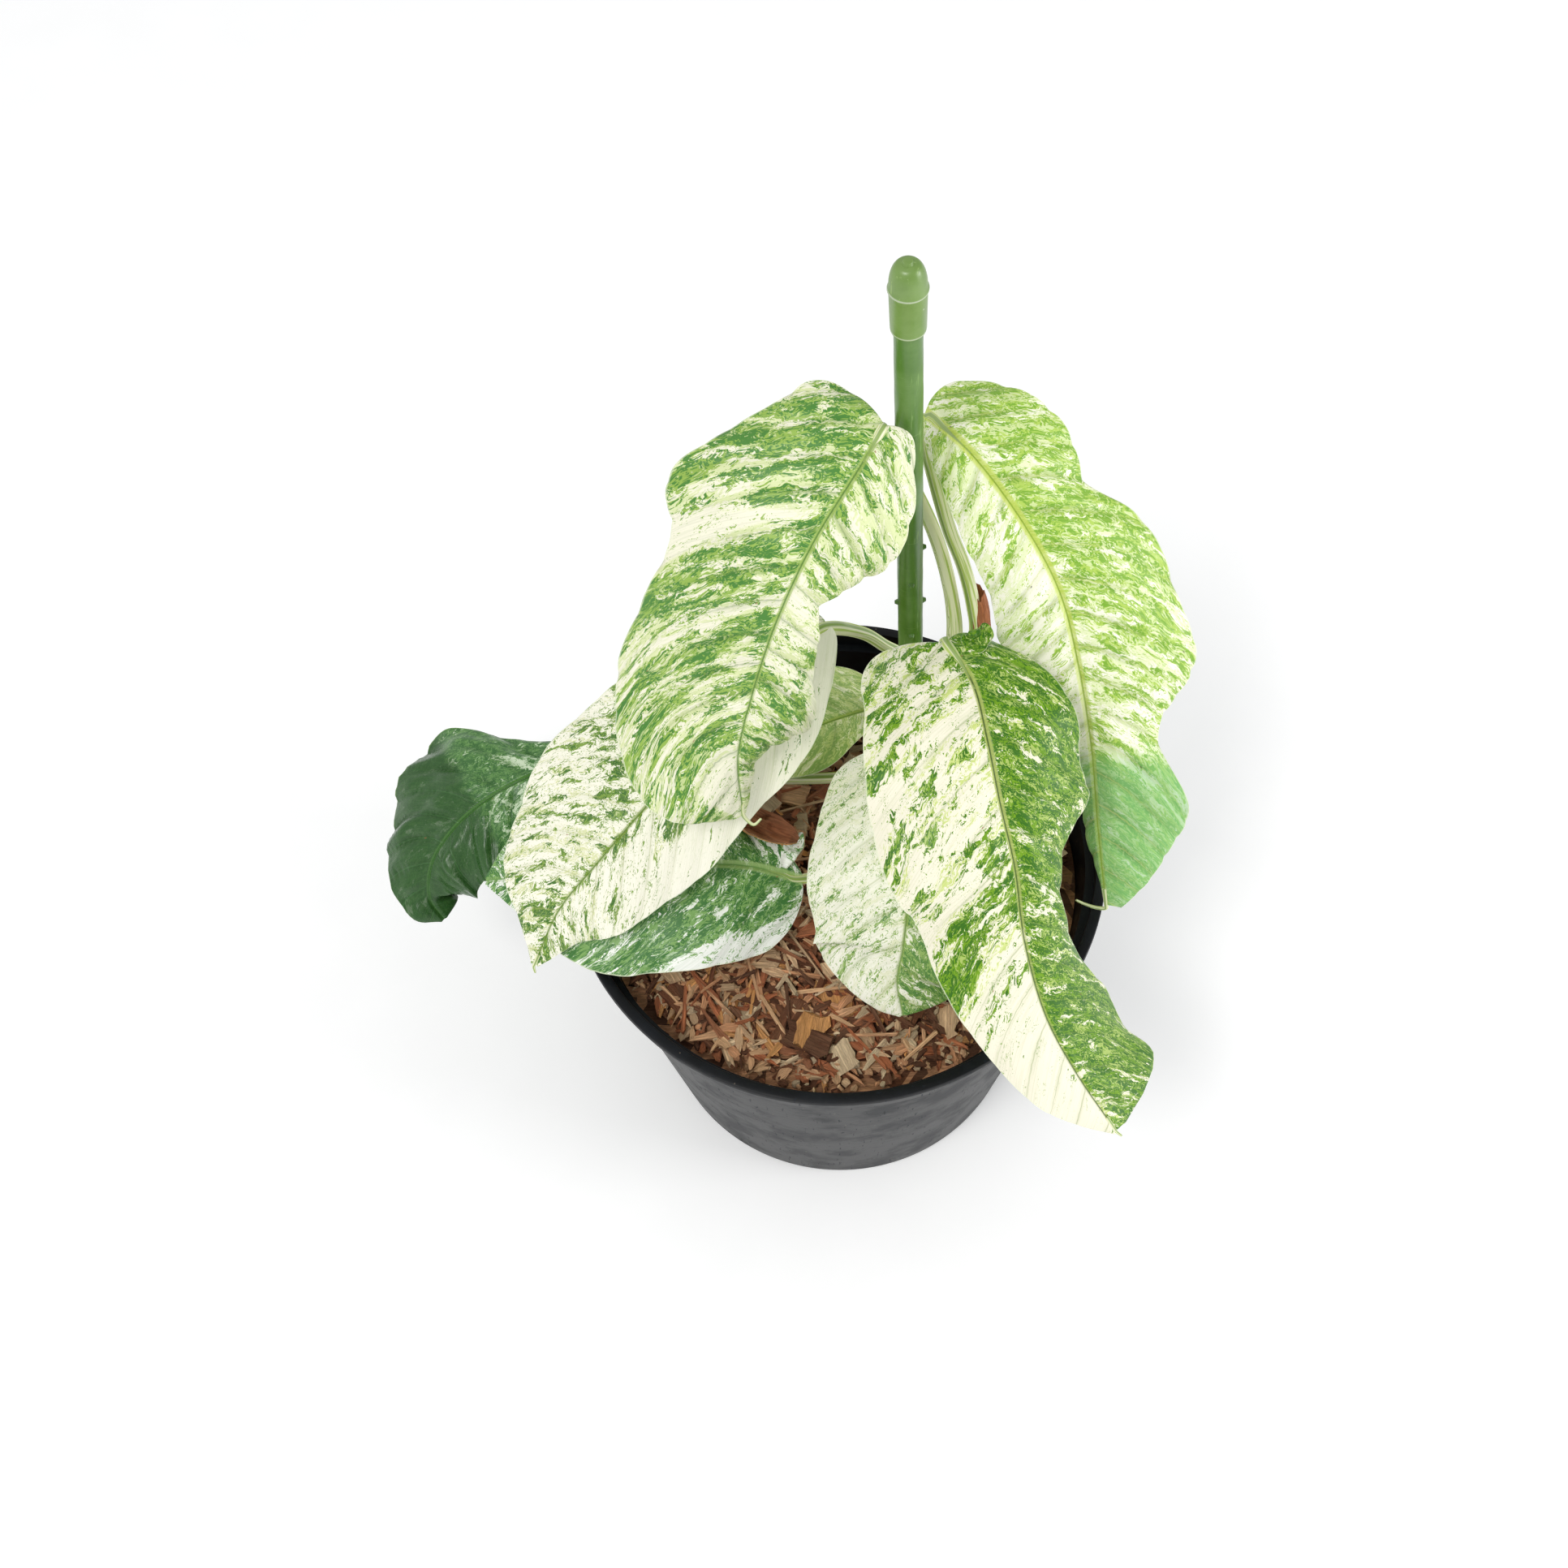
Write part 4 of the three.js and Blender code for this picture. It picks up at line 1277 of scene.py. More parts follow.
PALE = BladeFinish(
    deep=(64, 112, 44), fresh=(130, 164, 70), veil=(226, 230, 180), cream=(254, 251, 234),
    rib=(136, 164, 52), rib_line=(90, 128, 30), vein=(174, 186, 104),
    haze=0.3, flecks=0.16, crumbs=0.22, crease=0.3, stretch=1.4, seed=4.0,
)
DARK = BladeFinish(
    deep=(66, 120, 56), fresh=(130, 172, 96), veil=(214, 230, 204), cream=(252, 253, 246),
    rib=(160, 190, 116), rib_line=(110, 156, 78), vein=(106, 152, 92),
    haze=0.3, flecks=0.2, stretch=0.9, rib_width=1.7, roughness=0.36, seed=5.0,
)
OLD = BladeFinish(
    deep=(62, 108, 54), fresh=(104, 148, 82), veil=(170, 198, 156), cream=(206, 222, 192),
    rib=(82, 130, 56), rib_line=(44, 90, 32), rim=(112, 150, 74), vein=(70, 120, 62),
    haze=0.3, flecks=0.08, stretch=2.2, roughness=0.26, seed=6.0,
    tip_from=0.4, tip_share=0.85, tip_tint=(42, 80, 34),
)
WASHED = BladeFinish(
    deep=(84, 134, 60), fresh=(150, 182, 98), veil=(232, 234, 196), cream=(252, 250, 234),
    rib=(160, 184, 96), rib_line=(110, 148, 58), vein=(158, 176, 94),
    haze=0.4, flecks=0.2, crumbs=0.24, stretch=1.4, seed=7.0,
)
YOUNG = BladeFinish(
    deep=(144, 180, 88), fresh=(194, 212, 124), veil=(220, 230, 166), cream=(244, 246, 206),
    rib=(170, 192, 84), rib_line=(88, 132, 32), vein=(136, 164, 92), haze=0.5, flecks=0.24, seed=8.0,
)

LEAVES = (
    Leaf(
        node="leaf_upper_left",
        stalk=((35, 35.6, 148), (34.8, 38.6, 164), (32.4, 41.6, 181), (28.4, 44.4, 197), (22.3, 46.4, 214),
               (14.6, 42.6, 235)),
        stalk_radius=1.8,
        midrib=((15, 33, 251), (8, 22, 249), (-3, 11, 238), (-12, 3, 221), (-19, -3, 200), (-24, -9, 180),
                (-24, -15, 162)),
        turn=((0, -20), (0.5, -28), (1, -25)),
        sweep=swept(-0.7, 0.15),
        left=Half(
            width=((0, 12), (0.06, 18), (0.15, 24), (0.3, 36.5), (0.42, 32), (0.55, 32.5), (0.68, 35.5),
                   (0.8, 30), (0.92, 18), (1, 3)),
            fold=even(8), droop=((0, -30), (1, -25)),
        ),
        right=Half(
            width=((0, 11), (0.06, 11.6), (0.2, 19), (0.33, 22), (0.4, 16.5), (0.45, 10), (0.55, 14),
                   (0.7, 19.5), (0.82, 18), (0.92, 10), (1, 1)),
            fold=((0, 8), (0.35, -15), (1, -15)), droop=((0, -35), (0.35, -65), (1, -60)),
        ),
        wave_height=1.2, wave_count=4,
        drip=((-23, -15.7, 160), (-21.4, -16.6, 159), (-19.5, -15.8, 160.4)),
        finish=MARBLED,
        green={
            Side.LEFT: ((-0.3, 0.66), (0.1, 0.72), (0.3, 0.66), (0.5, 0.6), (0.75, 0.6), (0.95, 0.64)),
            Side.RIGHT: ((-0.3, 0.04), (-0.02, 0.1), (0.06, 0.36), (0.2, 0.5), (0.32, 0.34), (0.45, 0.24),
                         (0.55, 0.5), (0.8, 0.55), (1, 0.4)),
        },
        sectors=(
            Sector(Side.LEFT, 0.2, 0.215, 0.01, inner=0.05, flare=0.1),
            Sector(Side.LEFT, 0.8, 1.0, 0.05, outer=0.5),
            Sector(Side.LEFT, 0.4, 0.43, 0.25, flare=0.05),
            Sector(Side.RIGHT, 0.36, 0.42, 0.04, outer=0.6),
            Sector(Side.RIGHT, 0.5, 1.0, 0.08, inner=0.82),
        ),
    ),
    Leaf(
        node="leaf_upper_right",
        stalk=((38.4, 33, 146), (40.6, 35, 160), (39.4, 37, 172), (36.6, 39, 186), (32.6, 41.6, 199),
               (29.4, 45.4, 212), (27.2, 50.2, 222)),
        stalk_radius=1.8,
        midrib=((27, 55, 228), (37, 43, 226), (48, 30, 216), (57, 19, 201), (62, 9, 183), (66, -2, 161),
                (68, -15, 141), (70, -29, 124)),
        turn=((0, 10), (0.5, 18), (0.75, 22), (1, 35)),
        sweep=swept(-0.7, 0.15),
        left=Half(
            width=((0, 4), (0.06, 5.5), (0.15, 10.5), (0.22, 13.5), (0.35, 17), (0.5, 18.4), (0.65, 19),
                   (0.72, 13), (0.8, 7.5), (0.9, 9), (1, 1)),
            fold=((0, 8), (0.55, 5), (0.72, -30), (1, -40)),
            droop=((0, -30), (0.3, -45), (0.55, -45), (0.72, -75), (1, -85)),
        ),
        right=Half(
            width=((0, 12), (0.06, 17), (0.2, 24), (0.28, 21.5), (0.37, 28), (0.5, 31), (0.6, 30),
                   (0.7, 18.5), (0.8, 24), (0.9, 17), (1, 4)),
            fold=even(8), droop=even(-30),
        ),
        wave_height=1.2, wave_count=5,
        drip=((69.9, -29.5, 122.6), (67.5, -28.6, 121.6), (64.8, -27.6, 122), (62.3, -27, 123.6)),
        fit=0.976,
        finish=LIME,
        green={
            Side.LEFT: ((0, 0.5), (0.15, 0.34), (0.5, 0.14), (0.68, 0.12), (0.8, 0.85), (1, 0.95)),
            Side.RIGHT: ((0, 0.84), (0.25, 0.7), (0.45, 0.56), (0.65, 0.58), (0.75, 0.74), (0.82, 0.96),
                         (1, 0.98)),
        },
        sectors=(
            Sector(Side.LEFT, 0.3, 0.36, 0.05, outer=0.5),
            Sector(Side.LEFT, 0.44, 0.62, 0.12, outer=0.7),
        ),
    ),
    Leaf(
        node="leaf_front",
        stalk=((35, 30.6, 132), (34.8, 28.2, 142), (34, 26, 154), (32.4, 22.6, 168), (30.2, 18, 182)),
        stalk_radius=1.8,
        midrib=((29, 14, 190), (34, -1, 194), (36, -16, 192), (38, -29, 184), (41, -41, 172), (43, -53, 156),
                (48, -65, 138), (56, -75, 122), (66, -86, 108)),
        turn=even(-8),
        sweep=swept(-0.7, 0.15),
        left=Half(
            width=((0, 23), (0.06, 24), (0.15, 28), (0.3, 32), (0.4, 32), (0.55, 26), (0.7, 20),
                   (0.85, 13.7), (0.93, 8), (1, 1)),
            fold=even(8), droop=((0, -35), (1, -30)),
        ),
        right=Half(
            width=((0, 11), (0.06, 14), (0.2, 25), (0.35, 27), (0.43, 25.5), (0.5, 17.5), (0.57, 12.5),
                   (0.7, 20), (0.8, 24), (0.88, 25.5), (0.95, 25), (1, 4)),
            fold=((0, 20), (0.3, 8), (1, 8)), droop=((0, -25), (0.45, -45), (0.65, -45), (1, -20)),
        ),
        wave_height=1.2, wave_count=5,
        drip=((66.6, -86.4, 107.4), (67.6, -87, 106.6)),
        finish=HALF_CREAM,
        green={
            Side.LEFT: ((-0.3, 0.03), (-0.14, 0.2), (-0.06, 0.5), (0.06, 0.55), (0.16, 0.4), (0.28, 0.36),
                        (0.4, 0.62), (0.5, 0.78), (0.56, 0.03), (0.7, -0.06), (1, -0.1)),
            Side.RIGHT: ((-0.3, 0.92), (0.1, 0.88), (0.3, 0.84), (0.45, 0.9), (0.72, 0.95), (0.8, 0.86),
                         (1, 0.84)),
        },
        sectors=(
            Sector(Side.LEFT, 0.14, 0.17, 0.04, flare=0.03),
            Sector(Side.LEFT, 0.27, 0.3, 0.04, flare=0.03),
            Sector(Side.LEFT, 0.38, 0.41, 0.06, inner=0.3, flare=0.03),
        ),
        quilt=0.7, pitch=12.0,
    ),
    Leaf(
        node="leaf_left",
        stalk=((34.4, 34.6, 126), (30.4, 41.6, 131), (24, 44.6, 137), (17.6, 44.2, 144), (10.6, 43, 153.5)),
        stalk_radius=1.7,
        midrib=((1, 38, 166), (-16, 22, 167), (-32, 7, 162), (-48, -4, 152), (-63, -14, 140), (-75, -22, 129),
                (-83, -32, 118)),
        turn=even(-15),
        sweep=swept(-0.6, 0.1),
        left=Half(
            width=((0, 9), (0.06, 12.6), (0.2, 23.5), (0.35, 30.6), (0.5, 33.6), (0.7, 29), (0.8, 21.6),
                   (0.88, 10.5), (0.95, 4.5), (1, 1)),
            fold=even(8), droop=even(-30),
        ),
        right=Half(
            width=((0, 7), (0.06, 10.5), (0.2, 21), (0.35, 22.5), (0.5, 23.4), (0.65, 20), (0.8, 13.8),
                   (0.9, 7.4), (1, 1)),
            fold=even(8), droop=even(-30),
        ),
        wave_height=0.9, wave_count=4,
        drip=((-83.4, -32.4, 117.2), (-83.2, -33.4, 115.6)),
        finish=PALE,
        green={
            Side.LEFT: ((0, 0.34), (0.3, 0.38), (0.6, 0.3), (0.8, 0.26), (1, 0.5)),
            Side.RIGHT: ((0, -0.16), (0.4, -0.14), (0.6, 0.06), (0.7, 0.16), (0.85, 0.3), (1, 0.5)),
        },
        sectors=(
            Sector(Side.RIGHT, 0.42, 0.5, 0.5, outer=0.5, flare=0.04),
            Sector(Side.RIGHT, 0.4, 1.0, 0.4, outer=0.12),
        ),
        quilt=0.7, pitch=12.0,
        lean=(0.3, 1.2),
    ),
    Leaf(
        node="leaf_low_left",
        stalk=((30.4, 26, 104), (24, 17, 105), (16, 7, 106.6), (3, -6, 110.4)),
        stalk_radius=1.6,
        midrib=((-10, -12, 117), (-23, -10, 123), (-36, -10, 127), (-51, -9, 129), (-66, -9, 128),
                (-82, -9, 125), (-96, -7, 120)),
        turn=((0, -18), (1, -20)),
        sweep=swept(-0.5, 0.1),
        left=Half(
            width=((0, 3), (0.1, 7), (0.2, 14), (0.3, 19.5), (0.45, 22), (0.6, 22), (0.75, 18.5),
                   (0.9, 11.5), (1, 1)),
            fold=even(6), droop=even(-20),
        ),
        right=Half(
            width=((0, 10), (0.06, 17), (0.15, 24.6), (0.3, 28.5), (0.5, 31.4), (0.65, 28), (0.78, 20),
                   (0.88, 9.5), (1, 1)),
            fold=even(6), droop=even(-20),
        ),
        wave_height=0.9, wave_count=3,
        finish=DARK,
        green={
            Side.LEFT: ((0, 0.8), (1, 0.76)),
            Side.RIGHT: ((0, 0.86), (0.3, 0.84), (0.6, 0.7), (1, 0.66)),
        },
        sectors=(Sector(Side.RIGHT, -0.4, 0.16, 0.04, inner=0.72),),
        quilt=0.6, pitch=11.0,
        rows=100,
    ),
    Leaf(
        node="leaf_far_left",
        stalk=((31, 29.6, 105.6), (20, 28, 105), (0, 25.6, 106), (-28, 26, 109.6), (-52, 28.6, 113.6)),
        stalk_radius=1.6,
        midrib=((-70, 30, 117), (-83, 26, 119), (-95, 22, 116), (-106, 17, 110), (-115, 11, 100),
                (-118, 5, 89), (-115, 1, 82)),
        turn=even(-5),
        sweep=swept(-0.5, 0.1),
        left=Half(
            width=((0, 6), (0.1, 10), (0.25, 21), (0.4, 33), (0.55, 27), (0.69, 22), (0.78, 12), (0.9, 6),
                   (1, 1)),
            fold=even(6), droop=((0, -25), (1, -35)),
        ),
        right=Half(
            width=((0, 3), (0.1, 7), (0.2, 14.7), (0.35, 17), (0.6, 17.4), (0.78, 14), (0.9, 12), (0.95, 8),
                   (1, 1)),
            fold=even(6), droop=((0, -30), (1, -40)),
        ),
        wave_height=2.0, wave_count=4,
        finish=OLD,
        green={
            Side.LEFT: ((0, 0.96), (0.4, 1), (1, 1)),
            Side.RIGHT: ((0, 0.96), (0.4, 1), (1, 1)),
        },
        sectors=(
            Sector(Side.LEFT, 0.1, 0.22, 0.62, outer=0.5),
            Sector(Side.RIGHT, 0.2, 0.34, 0.6, outer=0.5),
        ),
        quilt=1.1,
        crinkle=3.0,
        fit=0.965,
        pitch=8.0,
        rows=100,
    ),
    Leaf(
        node="leaf_centre",
        stalk=((33, 29, 114), (30.4, 24.6, 122), (26.4, 18.8, 132)),
        stalk_radius=1.5,
        midrib=((21, 12, 140), (20, -5, 143), (18, -18, 141), (17, -29, 135), (15, -39, 128), (13, -45, 120),
                (14, -52, 113)),
        turn=even(0),
        sweep=swept(-0.6, 0.1),
        left=Half(
            width=((0, 15), (0.06, 18), (0.2, 25), (0.4, 27), (0.6, 25), (0.75, 23), (0.85, 12), (0.95, 5),
                   (1, 1)),
            fold=even(6), droop=even(-25),
        ),
        right=Half(
            width=((0, 15), (0.06, 17), (0.2, 23.4), (0.4, 25.5), (0.6, 23), (0.75, 18.5), (0.9, 18),
                   (0.96, 10), (1, 1)),
            fold=even(6), droop=even(-25),
        ),
        wave_height=0.9, wave_count=3,
        finish=WASHED,
        green={
            Side.LEFT: ((0, 0.12), (1, 0.14)),
            Side.RIGHT: ((0, 0.8), (1, 0.75)),
        },
        quilt=0.6, pitch=11.0,
        rows=100,
    ),
    Leaf(
        node="leaf_small",
        stalk=((32, 31.6, 109.6), (30.6, 39, 112), (26.4, 45, 113)),
        stalk_radius=1.3,
        midrib=((20, 46, 112), (11, 40, 118), (3, 36, 121), (-4, 33, 122), (-12, 32, 120), (-21, 31, 116)),
        turn=even(0),
        sweep=swept(-0.4, 0.1),
        left=Half(
            width=((0, 10), (0.1, 17), (0.2, 21), (0.4, 20), (0.6, 17.7), (0.8, 12.4), (0.9, 7), (1, 1)),
            fold=even(6), droop=even(-15),
        ),
        right=Half(
            width=((0, 2), (0.15, 4), (0.3, 8), (0.5, 12), (0.65, 14), (0.8, 12.3), (0.9, 8.7), (1, 1)),
            fold=even(6), droop=even(-15),
        ),
        wave_height=0.6, wave_count=3,
        finish=YOUNG,
        green={
            Side.LEFT: even(0.6),
            Side.RIGHT: even(0.8),
        },
        quilt=0.3, pitch=9.0,
        rows=80,
        columns=24,
    ),
)


FLAPS = (
    Flap(
        name="crumpled_lobe_front", node="leaf_front", green=0.95, cup=50.0, crumple=1.6, seed=3.3,
        spine=((34.8, 9.0, 191.2), (36.2, 11.4, 192.0), (37.4, 14.0, 192.2), (37.2, 16.6, 190.8)),
        width=((0, 1.2), (0.25, 4.0), (0.6, 4.4), (0.85, 3.0), (1, 0.6)), face=(-0.3, -0.3, 1),
    ),
    Flap(
        name="white_lobe_low_left", node="leaf_low_left", green=0.34, cup=55.0, crumple=1.4, seed=5.1,
        spine=((-14.6, -10.0, 121.4), (-13.0, -7.2, 123.2), (-11.2, -4.0, 123.4), (-10.4, -0.4, 121.8)),
        width=((0, 0.8), (0.3, 2.6), (0.6, 3.2), (0.85, 2.4), (1, 0.6)), face=(-0.2, -0.5, 1),
    ),
    Flap(
        name="dried_lobe_low_left", node="leaf_low_left", green=0.0, cup=80.0, crumple=3.6, seed=8.4,
        dried=True,
        spine=((-26.0, 3.6, 127.2), (-21.0, 0.6, 128.0), (-15.6, -2.0, 127.0), (-10.2, -3.8, 125.0)),
        width=((0, 2.8), (0.3, 5.6), (0.6, 5.2), (0.85, 3.4), (1, 1.0)), face=(0, -0.4, 1),
    ),
)


@dataclass(frozen=True)
class PlasticFinish:
    """Moulded plastic with scuffs, specks of dirt and, where asked, thin lines of painted highlight."""

    base: Shade
    worn: Shade
    roughness: float
    gloss: float
    dust_and_highlight: Shade

    DUST_SHARE = 0.12
    PEEL_RELIEF = 0.05

    def material(self, name: str, groups: dict[str, NodeTree], highlight_heights: tuple[float, ...] = ()) -> Material:
        """Builds the plastic's material.

        Args:
            name: The material's name.
            groups: The shared node groups by name.
            highlight_heights: The heights of thin pale lines of painted highlight, where a ridge such as a
                seam catches the light.

        Returns:
            The material, in object coordinates.
        """
        material, graph, shader = new_material(name)
        place = graph.scaled(graph.node("TexCoord").outputs["Object"], (1 / MM, 1 / MM, 1 / MM))
        scuffs = graph.use(groups["scuffs"], Vector=place)
        scratch, patch = scuffs.outputs
        colour = graph.mix(graph.times(patch, 0.2), self.base, self.worn)
        colour = graph.mix(graph.times(scratch, 0.5), colour, self.worn)
        # Painted highlight: a thin pale line at each given height, in the same colour as the dirt specks.
        for height in highlight_heights:
            apart = graph.math("ABSOLUTE", graph.math("SUBTRACT", graph.parts(place)[2], height))
            colour = graph.mix(graph.span(apart, 0.3, 0.1, (0.0, 0.6)), colour, self.dust_and_highlight)
        specks = graph.use(
            groups["specks"], Vector=graph.scaled(place, (0.35, 0.35, 0.35)), Share=self.DUST_SHARE, Size=0.12
        ).outputs[0]
        colour = graph.mix(graph.times(specks, 0.7), colour, self.dust_and_highlight)
        graph.put(shader.inputs["Base Color"], colour)
        rough = graph.math("MULTIPLY_ADD", patch, 0.12, self.roughness)
        rough = graph.math("MULTIPLY_ADD", scratch, 0.2, rough)
        graph.put(shader.inputs["Roughness"], rough)
        shader.inputs["Specular IOR Level"].default_value = self.gloss
        peel = graph.noise(graph.scaled(place, (0.6, 0.6, 0.6)), 1.0, 2.0)
        relief(graph, shader, graph.math("MULTIPLY_ADD", scratch, -0.3, peel), self.PEEL_RELIEF)
        return material


@dataclass(frozen=True)
class BarkFinish:
    """Bark and coir chips of many browns, each with its own grain."""

    shades: tuple[Shade, ...] = (
        (108, 68, 46), (246, 180, 132), (134, 84, 56), (255, 204, 154), (184, 120, 84), (255, 214, 168),
        (206, 124, 82), (252, 182, 112), (255, 226, 184), (122, 78, 54), (252, 196, 148), (255, 210, 164),
    )

    FURROW = (60, 38, 26)
    BLEACHED = (186, 146, 112)
    SHADOW = (52, 34, 24)
    SPECULAR = 0.3
    GRAIN_RELIEF = 0.35

    def material(self, groups: dict[str, NodeTree]) -> Material:
        """Builds the bark's material.

        Args:
            groups: The shared node groups by name.

        Returns:
            The material. It reads the mesh's attributes grain, a place in millimetres, and chip, which
            holds the place among the shades and the depth of shadow.
        """
        material, graph, shader = new_material("bark")
        pick, shadow, _ = graph.parts(graph.attribute("chip"))
        grain_place = graph.attribute("grain")
        ramp = graph.node("ValToRGB")
        ramp.color_ramp.interpolation = "CONSTANT"
        stops = ramp.color_ramp.elements
        for i, shade in enumerate(self.shades):
            share = i / (len(self.shades) - 1)
            stop = stops.new(share) if 0 < share < 1 else stops[0 if share == 0 else -1]
            stop.color = linear(shade)
        graph.put(ramp.inputs[0], pick)
        fibre = graph.use(groups["fibre"], Vector=grain_place)
        grain, blotch = fibre.outputs
        furrow = graph.mix(0.36, ramp.outputs[0], self.FURROW)
        colour = graph.mix(grain, furrow, ramp.outputs[0])
        colour = graph.mix(graph.times(blotch, 0.3), colour, graph.mix(0.5, colour, self.BLEACHED))
        colour = graph.mix(graph.times(shadow, 0.3), colour, self.SHADOW)
        graph.put(shader.inputs["Base Color"], colour)
        graph.put(shader.inputs["Roughness"], graph.span(grain, 0.0, 1.0, (0.9, 0.74)))
        shader.inputs["Specular IOR Level"].default_value = self.SPECULAR
        relief(graph, shader, grain, self.GRAIN_RELIEF)
        return material


@dataclass(frozen=True)
class ChipSort:
    """How many chips there are of a kind, how ragged they are and how high they may lie on the mix."""

    count: int
    ragged: float
    lift: float


class ChipKind(Enum):
    """The kinds of chip in the mix."""

    SHARD = ChipSort(count=2000, ragged=0.16, lift=1.6)
    FLAKE = ChipSort(count=100, ragged=0.1, lift=2.2)
    STICK = ChipSort(count=260, ragged=0.06, lift=2.4)
    CRUMB = ChipSort(count=1700, ragged=0.14, lift=1.2)


def cut_across(mesh: BMesh, cuts: int) -> None:
    """Cuts the long edges of a chip of unit length, which lies along X."""
    long_edges = [edge for edge in mesh.edges if abs(edge.verts[0].co.x - edge.verts[1].co.x) > 0.5]
    bmesh.ops.subdivide_edges(mesh, edges=long_edges, cuts=cuts)


@dataclass(frozen=True)
class BarkMix:
    """The loose bark mix that fills the pot, with chips lying on its top."""

    finish: BarkFinish = BarkFinish()
    floor: float = 2.1
    floor_radius: float = 54.6
    edge_height: float = 95.5
    crown_height: float = 97.6
    edge_radius: float = 67.9
    seed: int = 20611
    templates: int = 12
    stem_spot: tuple[float, float] = (31.3, 29.2)

    BED_RINGS = 22
    BED_SIDES = 96
    BED_DEPTH = 1.2
    SINK = 0.6
    STEM_ROOM = 5.0

    def top(self, radius: float) -> float:
        """The height of the mix at a distance from the pot's axis."""
        return self.crown_height + (self.edge_height - self.crown_height) * (radius / self.edge_radius) ** 2

    def body(self) -> BMesh:
        """Builds the bed under the chips, with a crumbly top.

        Returns:
            The mesh.
        """
        profile = [(0.0, self.floor), (self.floor_radius, self.floor)]
        for i in range(self.BED_RINGS + 1):
            radius = self.edge_radius * (1 - i / self.BED_RINGS)
            profile.append((radius, self.top(radius) - self.BED_DEPTH))
        mesh = turned(profile, self.BED_SIDES)
        for corner in mesh.verts:
            if corner.co.z > self.edge_height - 5 and corner.co.xy.length < self.edge_radius - 1:
                corner.co.z += 1.4 * noise.noise(corner.co * 0.35) + 0.8 * noise.noise(corner.co * 0.9)
        return mesh

    def template(self, kind: ChipKind, rng: random.Random) -> bpy.types.Mesh:
        """Makes one chip of unit length to copy from.

        Args:
            kind: The kind of chip.
            rng: The seeded random stream.

        Returns:
            The chip's mesh, lying along X.
        """
        mesh = bmesh.new()
        if kind is ChipKind.SHARD:
            bmesh.ops.create_cube(mesh, size=1)
            cut_across(mesh, 3)
        elif kind is ChipKind.FLAKE:
            bmesh.ops.create_grid(mesh, x_segments=4, y_segments=3, size=0.5)
            made = bmesh.ops.extrude_face_region(mesh, geom=mesh.faces[:], use_keep_orig=True)["geom"]
            bmesh.ops.translate(mesh, vec=(0, 0, 1), verts=[v for v in made if isinstance(v, BMVert)])
        elif kind is ChipKind.STICK:
            bmesh.ops.create_cone(
                mesh, cap_ends=True, segments=6, radius1=0.5, radius2=0.38, depth=1,
                matrix=Matrix.Rotation(math.pi / 2, 4, "Y"),
            )
            cut_across(mesh, 2)
        else:
            bmesh.ops.create_icosphere(mesh, subdivisions=1, radius=0.5)
        bend = rng.uniform(-0.5, 0.5)
        ragged = kind.value.ragged
        curl = rng.uniform(0.6, 2.2) if kind is ChipKind.FLAKE else 0.0
        for corner in mesh.verts:
            x, y = corner.co.x, corner.co.y
            if kind is ChipKind.SHARD:
                taper = 1 - rng.uniform(0.5, 0.75) * abs(2 * x) ** 2.4
                corner.co.y *= taper
                corner.co.z *= 0.35 + 0.65 * taper
            corner.co.z += bend * x * x + curl * y * y
            corner.co += Vector(rng.uniform(-ragged, ragged) for _ in range(3))
        bmesh.ops.recalc_face_normals(mesh, faces=mesh.faces)
        data = bpy.data.meshes.new("chip_" + kind.name.lower())
        mesh.to_mesh(data)
        mesh.free()
        return data

    def chip_size(self, kind: ChipKind, rng: random.Random) -> Point:
        """Draws the size of a chip.

        Args:
            kind: The kind of chip.
            rng: The seeded random stream.

        Returns:
            Its length, width and thickness.
        """
        if kind is ChipKind.SHARD:
            length = 4 + 12 * rng.random() ** 1.8
            return length, rng.uniform(0.8, 2.8), rng.uniform(0.5, 1.2)
        if kind is ChipKind.FLAKE:
            return rng.uniform(7, 13), rng.uniform(5, 9), rng.uniform(0.6, 1.0)
        if kind is ChipKind.STICK:
            return rng.uniform(9, 22), rng.uniform(0.8, 1.5), rng.uniform(0.8, 1.4)
        size = rng.uniform(1.0, 3.2)
        return size, size * rng.uniform(0.5, 0.9), size * rng.uniform(0.35, 0.7)

    def chips(self) -> BMesh:
        """Scatters the chips over the mix.

        Returns:
            The mesh. Grain is each chip's own coordinates in millimetres, and chip its colour draws.
        """
        rng = random.Random(self.seed)
        mesh = bmesh.new()
        grain, chip = vectors(mesh, "grain", "chip")
        for kind in ChipKind:
            shapes = [self.template(kind, rng) for _ in range(self.templates)]
            for _ in range(kind.value.count):
                self.lay(mesh, rng.choice(shapes), kind, rng, grain, chip)
            for shape in shapes:
                bpy.data.meshes.remove(shape)
        return mesh

